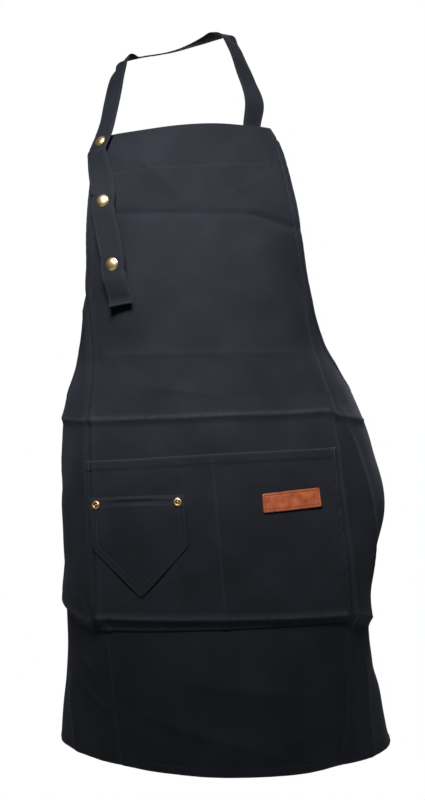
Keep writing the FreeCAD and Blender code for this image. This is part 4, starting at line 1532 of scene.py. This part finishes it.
@dataclass
class Label:
    """Plain leather label, sewn on the wide pocket: its mark is left out."""

    pockets: Pockets
    width: float = 72.0
    height: float = 21.0
    thickness: float = 1.8
    offset: float = 50.0
    drop: float = 46.0
    rise: float = 3.0
    corner: float = 1.6
    border: float = 2.6            # mm from the edge to the pressed line

    def _frame(self, across: Array, down: Array) -> tuple[Array, Array, Array, Array]:
        """Flat places, lift and outward direction of places on the label.

        Args:
            across: places across from the label's left end, in mm.
            down: places down from the label's upper edge, in mm.

        Returns:
            Flat places, lift of the underside, and outward directions.
        """
        share = across / self.width
        top = self.pockets.drop + self.drop - self.rise * share
        s = self.offset + across
        bottom = top + self.height
        lifts = [self.pockets.on_pocket(s, end) + self.pockets.folds(s, end)
                 for end in (top, bottom)]
        under = lifts[0] + (lifts[1] - lifts[0]) * down / self.height
        high = np.max(self.pockets.surface(s, top + self.height / 2) - under + 0.15)
        under = under + max(float(high), 0.0)
        curl = 1.1 * (across / self.width) ** 6 * (down / self.height) ** 2
        ripple = 0.22 * np.sin(across / 7.5 + 0.8) * np.sin(down / 6.0)
        v = top + down
        return s, v, under + curl + ripple, DRAPE.directions(s, top + self.height / 2)[2]

    def build_leather(self) -> bpy.types.Object:
        """Make the leather, with rounded corners and a pressed line round its border.

        Returns:
            The leather.
        """
        share_a, share_d = np.meshgrid(np.linspace(0, 1, 150), np.linspace(0, 1, 56))
        across, down = share_a * self.width, share_d * self.height
        near_a = np.minimum(across, self.width - across)
        near_d = np.minimum(down, self.height - down)
        pull = np.clip(1 - near_d / self.corner, 0, 1)
        inset = self.corner * (1 - np.sqrt(np.clip(1 - pull * pull, 0, 1)))
        across = inset + (self.width - 2 * inset) * share_a
        inside = np.minimum(near_a, near_d)
        s, v, under, outward = self._frame(across, down)
        groove = 0.42 * bell(inside - self.border, 0.55)
        bevel = 0.5 * np.clip(1 - inside / 0.8, 0, 1) ** 2
        base = DRAPE.at(s, v)
        outer = base + outward * (under + self.thickness - groove - bevel)[..., None]
        inner = base + outward * under[..., None]
        worn = np.maximum(0.75 * bell(inside - self.border, 0.6),
                          0.6 * smooth_step((0.9 - inside) / 0.9))
        made = closed_sheet("leather_label_hide", outer, inner, np.stack([s, v], -1), worn, LEATHER)
        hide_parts("leather_label")
        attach(made, "apron")
        return made

    def build_stitches(self) -> bpy.types.Object:
        """Make the row of stitches in the pressed line.

        Returns:
            The stitches.
        """
        edge = self.border
        corners = [(edge, edge), (self.width - edge, edge), (self.width - edge, self.height - edge),
                   (edge, self.height - edge), (edge, edge)]
        runs = []
        for (a0, d0), (a1, d1) in zip(corners, corners[1:]):
            length = math.hypot(a1 - a0, d1 - d0)
            starts = np.arange(0.6, length - 1.9, 2.8)
            points = []
            for extra in (0.0, 1.9):
                share = (starts + extra) / length
                s, v, under, outward = self._frame(a0 + (a1 - a0) * share, d0 + (d1 - d0) * share)
                points.append(DRAPE.at(s, v) + outward * (under + self.thickness - 0.3)[..., None])
            runs.append((points[0], points[1], outward))
        made = stitched("label_stitches", runs, 0.26, LABEL_THREAD)
        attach(made, "apron")
        return made

    def build(self) -> list[bpy.types.Object]:
        """Make the label."""
        return [self.build_leather(), self.build_stitches()]


@dataclass
class NeckStrap:
    """Neck strap: sewn behind the bib at the right, round the neck, snapped on it at the left."""

    panel: Panel
    width: float = 30.0
    thickness: float = 1.8
    set_in: float = 20.0
    overlap: float = 46.0
    tail_length: float = 187.0
    tail_stand_off: float = 9.0
    tail_drift: float = 19.0
    snap_drop: float = 11.0
    snap_pitch: float = 75.0
    cap_radius: float = 7.6
    cap_rim: float = 0.8
    cap_dome: float = 2.6
    snap_stack: float = 0.35 + 0.7 + 0.25 + 3.6    # seat, flange, clearance and socket
    hinge_gap: float = 1.6

    # The route's listed points: place, and direction to the strap's outer edge.
    left_knots = (
        ((-90, -46, -84), (-0.62, 0.60, -0.20)),
        ((-83, -33, -56), (-0.66, 0.52, -0.36)),
        ((-76, -17, -29), (-0.66, 0.30, -0.62)),
        ((-68, 0, -9), (-0.66, 0.06, -0.72)),
        ((-60, 20, -1), (-0.96, 0.05, -0.25)),
        ((-44, 42, 7), (-0.72, 0.66, 0.05)),
        ((-23, 55, 12), (-0.38, 0.90, 0.15)),
    )
    back_knot = ((0, 59, 16), (0.0, 0.98, 0.17))
    right_knots = (
        ((24, 55, 22), (0.38, 0.90, 0.15)),
        ((44, 42, 26), (0.72, 0.66, 0.05)),
        ((57, 20, 25), (0.96, 0.05, -0.20)),
        ((64, 1, 13), (0.70, 0.06, -0.66)),
        ((71, -18, -11), (0.68, 0.30, -0.60)),
        ((78, -37, -42), (0.70, 0.46, -0.34)),
        ((84, -52, -74), (0.74, 0.55, -0.16)),
    )
    hinge_x = -60.0

    def __post_init__(self) -> None:
        """Work out where the first snap holds the strap on the bib."""
        self.snap_s = self.width / 2 - self.panel.bib_half_width
        sideways, down, outward = (part[0] for part in DRAPE.directions(
            np.array([self.snap_s]), np.array([self.snap_drop])))
        self.sideways, self.down, self.outward = sideways, down, outward
        self.lift = self.snap_stack + self.thickness / 2
        self.snap_base = DRAPE.at(np.array([self.snap_s]), np.array([self.snap_drop]))[0]
        self.snap_middle = self.snap_base + outward * self.lift
        self.reach = self.cap_radius + 2.0
        self.tail_start = self.snap_drop + self.reach + self.hinge_gap
        self.tail_end = self.tail_start + self.tail_length

    def flat_knots(self, middle: Array, down: Array, sideways: Array) -> list:
        """Knots that keep the strap flat and straight under a snap."""
        return [(middle + down * (self.reach * step), -sideways) for step in (1, 0, -1)]

    def sewn_knot(self, v: float) -> tuple[Array, Array]:
        """Knot where the strap is sewn behind the bib.

        Args:
            v: place down the flat cloth, in mm.

        Returns:
            The knot's place and edge direction.
        """
        s = self.panel.bib_half_width - self.set_in - self.width / 2
        place = (np.array([s]), np.array([v]))
        bow = 1.6                  # mm that the bib bows over the strap's width
        lift = -2 * self.panel.cloth - 2 * self.panel.gap - 0.35 - self.thickness / 2 - bow
        return DRAPE.lifted(*place, np.array([lift]))[0], DRAPE.directions(*place)[0][0]

    def build_web(self) -> SewnBand:
        """Route of the strap from below the first snap to its sewn end.

        Returns:
            The strap's band.
        """
        knots = self.flat_knots(self.snap_middle, self.down, self.sideways)
        knots += [*self.left_knots, self.back_knot, *self.right_knots]
        knots += [self.sewn_knot(2.0), self.sewn_knot(self.overlap)]
        return SewnBand("neck_strap_web", smooth_route(knots, 12), self.width, self.thickness)

    def tail_place(self, v: float) -> tuple[float, float]:
        """Flat place and lift of the tail's middle at v: it hangs clear, and its end curls in.

        Args:
            v: place down the flat cloth, in mm.

        Returns:
            Flat place sideways and lift, in mm.
        """
        share = (v - self.tail_start) / (self.tail_end - self.tail_start)
        out = self.tail_stand_off * share ** 2
        curl = 9.5 * max((share - 0.80) / 0.20, 0.0) ** 1.5
        flick = 5.0 * max((share - 0.955) / 0.045, 0.0) ** 2
        return self.snap_s + self.tail_drift * share, self.lift + out - curl + flick

    def tail_knot(self, v: float) -> tuple[Array, Array]:
        """Knot of the hanging tail at v.

        Args:
            v: place down the flat cloth, in mm.

        Returns:
            The knot's place and edge direction.
        """
        s, lift = self.tail_place(v)
        place = (np.array([s]), np.array([v]))
        return DRAPE.lifted(*place, np.array([lift]))[0], -DRAPE.directions(*place)[0][0]

    def tail_snap(self, index: int) -> tuple[Array, Array, Array, Array]:
        """Middle, outward, down and sideways directions of a snap on the tail.

        Args:
            index: which snap, from 1.

        Returns:
            The middle and the three directions.
        """
        v = self.snap_drop + self.snap_pitch * (index - 1)
        s, lift = self.tail_place(v)
        place = (np.array([s]), np.array([v]))
        sideways, down, outward = (part[0] for part in DRAPE.directions(*place))
        return DRAPE.lifted(*place, np.array([lift]))[0], outward, down, sideways

    def build_tail(self) -> SewnBand:
        """Route of the strap's free tail, from below the first snap down.

        Returns:
            The tail's band.
        """
        first = self.snap_middle + self.down * self.reach
        knots = [(first + self.down * run, -self.sideways) for run in (0.0, 4.0 + self.hinge_gap)]
        for index in (2, 3):
            middle, outward, down, sideways = self.tail_snap(index)
            knots += self.flat_knots(middle, down, sideways)[::-1]
        after = self.snap_drop + 2 * self.snap_pitch + self.reach
        for share in (0.25, 0.45, 0.62, 0.78, 0.90, 0.97, 1.0):
            knots.append(self.tail_knot(after + (self.tail_end - after) * share))
        return SewnBand("strap_tail_web", smooth_route(knots, 10), self.width, self.thickness,
                        phase=1.3)

    def finish_band(self, band: SewnBand,
                    nodes: Sequence[str], stitches: str) -> list[bpy.types.Object]:
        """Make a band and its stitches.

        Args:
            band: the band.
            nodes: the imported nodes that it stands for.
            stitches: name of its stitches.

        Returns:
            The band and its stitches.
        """
        cloth = band.build()
        LOG.info("%s is %.0f mm long", band.name, band.length())
        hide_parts(*nodes)
        band.length() * MM
        thread = stitched(stitches, band.stitch_runs(), 0.26, CLOTH_THREAD)
        for piece in (cloth, thread):
            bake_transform(piece)
        return [cloth, thread]

    def build_cap(self, index: int, middle: Array, outward: Array, body: str) -> bpy.types.Object:
        """Make one domed snap cap, with its rolled rim and its stem.

        Args:
            index: which snap.
            middle: the strap's middle under it.
            outward: direction of its axis.
            body: the body it rides on.

        Returns:
            The cap.
        """
        stem, floor = 1.9, 1.0
        foot = middle - outward * (self.thickness / 2 + floor)
        seat = self.thickness + floor - 0.15
        radius, rim = self.cap_radius, self.cap_rim
        profile = [(0, 0, 0.8), (stem, 0, 0.8), (stem, seat, 0.8), (radius - 0.5, seat, 1.0)]
        for k in range(7):
            angle = -math.pi / 2 + math.pi * k / 8
            profile.append((radius - 0.45 + 0.45 * math.cos(angle),
                            seat + rim * 0.62 + 0.5 * math.sin(angle), 0.55 - 0.06 * k))
        profile.append((radius - 0.85, seat + rim + 0.12, 0.45))
        for k in range(1, 11):
            angle = math.pi / 2 * k / 10
            across = (radius - 0.85) * math.cos(angle) if k < 10 else 0
            profile.append((across, seat + rim + 0.1 + self.cap_dome * math.sin(angle), 0.0))
        made = turned_piece("snap_cap_dome_%d" % index, profile, foot, outward, SNAP_BRASS)
        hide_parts("snap_cap_%d" % index)
        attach(made, body)
        return made

    def build(self) -> list[bpy.types.Object]:
        """Make the strap, its tail and the snaps' caps.

        Returns:
            The pieces.
        """
        made = self.finish_band(self.build_web(),
                                ("neck_strap", "strap_drop"), "neck_strap_stitches")
        made += self.finish_band(self.build_tail(),
                                 ("strap_tail",), "strap_tail_stitches")
        made.append(self.build_cap(1, self.snap_middle, self.outward, "strap_drop"))
        for index in (2, 3):
            middle, outward = self.tail_snap(index)[:2]
            made.append(self.build_cap(index, middle, outward, "strap_tail"))
        return made


@dataclass
class WaistTies:
    """Waist ties sewn behind the side corners, and the bow that closes them behind the back."""

    panel: Panel
    width: float = 24.0
    thickness: float = 1.6
    overlap: float = 22.0
    tail_length: float = 330.0
    loop_length: float = 108.0
    knot_radius: float = 11.0
    bow_back: float = 128.0
    bow_drop: float = 18.0
    tail_apart: float = 5.0
    tail_below: float = 12.0

    @property
    def knot(self) -> Array:
        """Middle of the bow's knot."""
        level = float(DRAPE.height(np.array([self.panel.armhole_depth]))[0]) - self.bow_drop
        return np.array([0.0, self.bow_back, level])

    def tie_band(self, side: Side) -> SewnBand:
        """Route of one tie from behind the side edge round the back to the knot.

        Args:
            side: which side of the apron.

        Returns:
            The tie's band.
        """
        sign = side.value
        level = self.panel.armhole_depth + self.width / 2 + 3.0
        edge = self.panel.half_width * sign
        inside = edge - self.overlap * sign
        lift = -3 * self.panel.cloth - self.panel.gap - 1.2 - self.thickness / 2
        places = (np.array([inside, edge]), np.array([level, level]))
        start, leave = DRAPE.lifted(*places, np.array([lift, lift]))
        along = DRAPE.directions(*places)[1][1]
        first = leave + unit(leave - start) * 16.0
        end = self.knot + np.array([sign * self.knot_radius * 0.9, -3.0, 0.0])
        turn = np.array([first[0] * 0.45 + end[0] * 0.55 + sign * 22.0, end[1] - 16.0,
                         first[2] * 0.6 + end[2] * 0.4])
        near = np.array([end[0] + sign * 26.0, end[1] - 3.0, end[2] + (first[2] - end[2]) * 0.12])
        knots = [(place, along) for place in (start, leave, first)]
        knots += [(place, (0.0, 0.0, -1.0)) for place in (turn, near, end)]
        route = smooth_route(knots, 14)
        count = len(route[0])
        gathered = 1 - 0.42 * smooth_step((np.arange(count) - count * 0.72) / (count * 0.28))
        name = "waist_tie_%s_web" % side.name.lower()
        return SewnBand(name, route, self.width, self.thickness, uneven=0.5, taper=gathered,
                        phase=sign)

    def loop_band(self, side: Side) -> SewnBand:
        """Route of one soft loop of the bow, out to its tip and back behind itself.

        Args:
            side: which side of the apron.

        Returns:
            The loop's band.
        """
        sign, half = side.value, 5.0
        start = self.knot + np.array([sign * self.knot_radius * 0.55, 3.5, 0.0])
        out = np.array([sign * self.loop_length, 0.0, -34.0])
        outline = ((0.0, 1.3), (0.16, 3.4), (0.35, half), (0.75, half + 1.0), (0.97, half - 2.0),
                   (1.0, 0.0), (0.97, 2.0 - half), (0.75, -half - 1.0), (0.35, -half),
                   (0.16, -3.4), (0.0, -1.3))
        knots = []
        for share, depth in outline:
            dip = np.array([0.0, depth, -14.0 * share * share])
            knots.append((start + out * share + dip, (sign * 0.25, 0.0, -0.97)))
        route = smooth_route(knots, 8)
        far = np.abs(route[0][:, 0] - start[0]) / self.loop_length
        gathered = 0.5 + 0.5 * smooth_step(far / 0.34)
        name = "bow_loop_%s_web" % side.name.lower()
        return SewnBand(name, route, self.width, self.thickness, uneven=0.45, taper=gathered,
                        phase=2 * sign)

    def tail_band(self, side: Side) -> SewnBand:
        """Route of one hanging end, from inside the knot down in a slight wave.

        Args:
            side: which side of the apron.

        Returns:
            The hanging end's band.
        """
        sign = side.value
        beside = self.width / 2 + self.tail_apart / 2
        top = self.knot + np.array([sign * beside, sign * 2.4, -self.width / 2 - self.tail_below])
        knots = [(self.knot + np.array([sign * 4.0, sign * 1.5, -3.0]), (sign * 0.97, 0.2, 0.3)),
                 (self.knot + np.array([sign * 8.5, sign * 2.2, -12.0]), (sign * 0.97, 0.2, 0.25))]
        for share in (0.0, 0.12, 0.3, 0.5, 0.7, 0.86, 1.0):
            turn = share * math.pi * 2
            drift = [sign * 34.0 * share ** 1.3, sign * 3.0 * math.sin(turn),
                     -self.tail_length * share]
            knots.append((top + np.array(drift), (sign * 0.95, 0.30 * math.cos(turn), 0.1)))
        route = smooth_route(knots, 14)
        count = len(route[0])
        gathered = 0.45 + 0.55 * smooth_step(np.arange(count) / (count * 0.24))
        name = "tie_tail_%s_web" % side.name.lower()
        return SewnBand(name, route, self.width, self.thickness, uneven=0.7, taper=gathered,
                        phase=3 * sign)

    def build_knot(self) -> bpy.types.Object:
        """Make the knot: the tie drawn tight round itself, in three uneven wraps.

        Returns:
            The knot.
        """
        rows, around = 44, 72
        tilt = np.linspace(0, math.pi, rows)[:, None]
        turn = (np.arange(around) * 2 * math.pi / around)[None, :]
        wraps = np.abs(np.sin(1.5 * turn + 0.5 * np.cos(tilt) + 0.4)) ** 0.6
        creases = 0.05 * np.sin(7 * tilt + 3 * np.cos(turn))
        swell = (0.86 + 0.14 * wraps + creases)[..., None]
        radii = np.array([1.2, 1.15, 0.7]) * self.knot_radius
        ball = np.stack(np.broadcast_arrays(np.cos(tilt), np.sin(tilt) * np.cos(turn),
                                            np.sin(tilt) * np.sin(turn)), -1)
        points = self.knot + ball * radii * swell
        flat = np.stack(np.broadcast_arrays(turn * self.knot_radius, tilt * self.knot_radius), -1)
        made = swept("bow_knot_wraps", points, flat, np.zeros((rows, around)), CANVAS)
        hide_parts("bow_knot")
        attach(made, "apron")
        return made

    def dress(self, band: SewnBand, node: str,
              tail: bool) -> list[bpy.types.Object]:
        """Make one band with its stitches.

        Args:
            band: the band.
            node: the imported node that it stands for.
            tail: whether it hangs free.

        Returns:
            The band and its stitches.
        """
        cloth = band.build()
        LOG.info("%s is %.0f mm long", band.name, band.length())
        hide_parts(node)
        band.length() * MM
        thread = stitched(node + "_stitches", band.stitch_runs(), 0.26, CLOTH_THREAD)
        for piece in (cloth, thread):
            if tail:
                start = np.array([0.0, 0.0, self.knot[2] - 12.0]) * MM
                end = np.array([0.0, 0.0, self.knot[2] - 44.0]) * MM
                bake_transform(piece)
            else:
                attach(piece, "apron")
        return [cloth, thread]

    def build(self) -> list[bpy.types.Object]:
        """Make both ties, both loops, both hanging ends and the knot.

        Returns:
            The pieces.
        """
        made = []
        for side in Side:
            name = side.name.lower()
            made += self.dress(self.tie_band(side), "waist_tie_" + name, False)
            made += self.dress(self.loop_band(side), "bow_loop_" + name, False)
            made += self.dress(self.tail_band(side), "tie_tail_" + name, True)
        made.append(self.build_knot())
        return made


def dress_hardware() -> None:
    """Give the carried-over metal nodes their finishes."""
    finishes = {"snap_socket": SNAP_BRASS, "snap_stud": SNAP_BRASS, "snap_post": SNAP_BRASS,
                "snap_spring": WIRE, "rivet_burr": RIVET_BRASS}
    for start, material in finishes.items():
        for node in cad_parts:
            if node.startswith(start):
                mesh = bpy.data.objects[node].data
                for slot in bpy.data.objects[node].material_slots:
                    slot.material = material
                if not mesh.materials:
                    LOG.warning("%s has no material slot", node)


# ---- the studio -------------------------------------------------------------------------------


@dataclass
class Studio:
    """White paper floor, soft lights, and the camera, a little below the apron's middle."""

    azimuth: float = -3.5          # degrees
    elevation: float = -0.5
    roll: float = 3.9              # level lines rise to the right
    distance: float = 1.950        # m
    focal: float = 1605.0          # where the frame is 800 high
    frame_height: float = 800.0
    aim: tuple[float, float] = (0.0135, -0.424)    # m to the right of the origin, and its level
    floor_level: float = -1.44     # m, with the origin at a wearer's neck
    floor_radius: float = 1.7

    def camera(self) -> None:
        """Make the camera."""
        turn, tilt, roll = (math.radians(a) for a in (self.azimuth, self.elevation, self.roll))
        right = Vector((math.cos(turn), math.sin(turn), 0))
        ahead = Vector((-math.sin(turn) * math.cos(tilt), math.cos(turn) * math.cos(tilt),
                        -math.sin(tilt)))
        up = right.cross(ahead)
        across = right * math.cos(roll) - up * math.sin(roll)
        upward = right * math.sin(roll) + up * math.cos(roll)
        place = Vector((0, 0, self.aim[1])) + right * self.aim[0] - ahead * self.distance
        data = bpy.data.cameras.new("camera")
        data.lens = self.focal / self.frame_height * data.sensor_width
        data.clip_start, data.clip_end = 0.05, 60
        camera = bpy.data.objects.new("camera", data)
        bpy.context.scene.collection.objects.link(camera)
        turned = Matrix((across, upward, -ahead)).transposed().to_4x4()
        camera.matrix_world = Matrix.Translation(place) @ turned
        bpy.context.scene.camera = camera

    def softbox(self, name: str, place: tuple, target: tuple, size: tuple, power: float,
                spread: float = 180.0) -> None:
        """Make one soft area light.

        Args:
            name: name of the light.
            place: where it stands, in m.
            target: what it points at, in m.
            size: width and height, in m.
            power: in W.
            spread: angle of its beam, in degrees.
        """
        data = bpy.data.lights.new(name, "AREA")
        data.shape = "RECTANGLE"
        data.size, data.size_y = size
        data.energy = power
        data.spread = math.radians(spread)
        light = bpy.data.objects.new(name, data)
        bpy.context.scene.collection.objects.link(light)
        light.location = place
        light.rotation_euler = (Vector(target) - Vector(place)).to_track_quat("-Z", "Y").to_euler()

    def lights(self) -> None:
        """Make the softboxes and the white surroundings."""
        # A narrow key beam from above leaves the skirt darker than the bib.
        self.softbox("key", (-0.10, -1.00, 0.64), (0.01, -0.12, -0.22), (0.7, 0.45), 6.2, 41)
        self.softbox("back", (0.5, 1.7, 0.3), (0.0, 0.1, -0.45), (0.9, 0.9), 14.0, 110)
        self.softbox("fill", (0.9, -1.6, -0.2), (0.02, 0.0, -0.55), (0.8, 1.2), 0.5)
        world = bpy.data.worlds.new("white room")
        bpy.context.scene.world = world
        world.use_nodes = True
        tree = world.node_tree
        tree.nodes.clear()
        seen = add_node(tree, "Background", inputs={"Strength": 1.0})
        seen.inputs["Color"].default_value = (1, 1, 1, 1)
        glow = add_node(tree, "Background", inputs={"Strength": 0.055})
        glow.inputs["Color"].default_value = (0.93, 0.96, 1.0, 1)
        ray = add_node(tree, "LightPath").outputs["Is Camera Ray"]
        mixed = add_node(tree, "MixShader", inputs={0: ray, 1: glow.outputs[0], 2: seen.outputs[0]})
        add_node(tree, "OutputWorld", inputs={"Surface": mixed.outputs[0]})
        bpy.context.scene.view_settings.view_transform = "Standard"

    def floor(self) -> None:
        """Make the paper floor: a round sheet, turned up a little at its rim."""
        around, rings = 96, 24
        angle = np.arange(around) * 2 * math.pi / around
        points, faces = [(0.0, 0.0, self.floor_level)], []
        for row in range(1, rings + 1):
            share = row / rings
            level = self.floor_level + 0.03 * max(share - 0.9, 0) / 0.1 * share
            for a in angle:
                points.append((math.cos(a) * self.floor_radius * share,
                               math.sin(a) * self.floor_radius * share, level))
        for k in range(around):
            n = (k + 1) % around
            faces.append([0, 1 + k, 1 + n])
            for row in range(rings - 1):
                a, b = 1 + row * around, 1 + (row + 1) * around
                faces.append([a + k, b + k, b + n, a + n])
        made = make_mesh("paper_floor", np.array(points) / MM, faces, StudioPaper().material(),
                         np.array(points)[:, :2] / MM)

    def build(self) -> None:
        """Make the camera, the lights and the floor."""
        self.camera()
        self.lights()
        self.floor()


def main() -> None:
    """Build the apron and the studio, and write how large the model came out."""
    logging.basicConfig(level=logging.INFO, format="%(message)s")
    Studio().build()
    panel = Panel()
    pockets = Pockets(panel)
    for assembly in (panel, pockets, Label(pockets), NeckStrap(panel), WaistTies(panel)):
        for piece in assembly.build():
            LOG.info("%s: %s, %d faces", type(assembly).__name__, piece.name,
                     len(piece.data.polygons))
    dress_hardware()


if __name__ == "__main__":
    main()
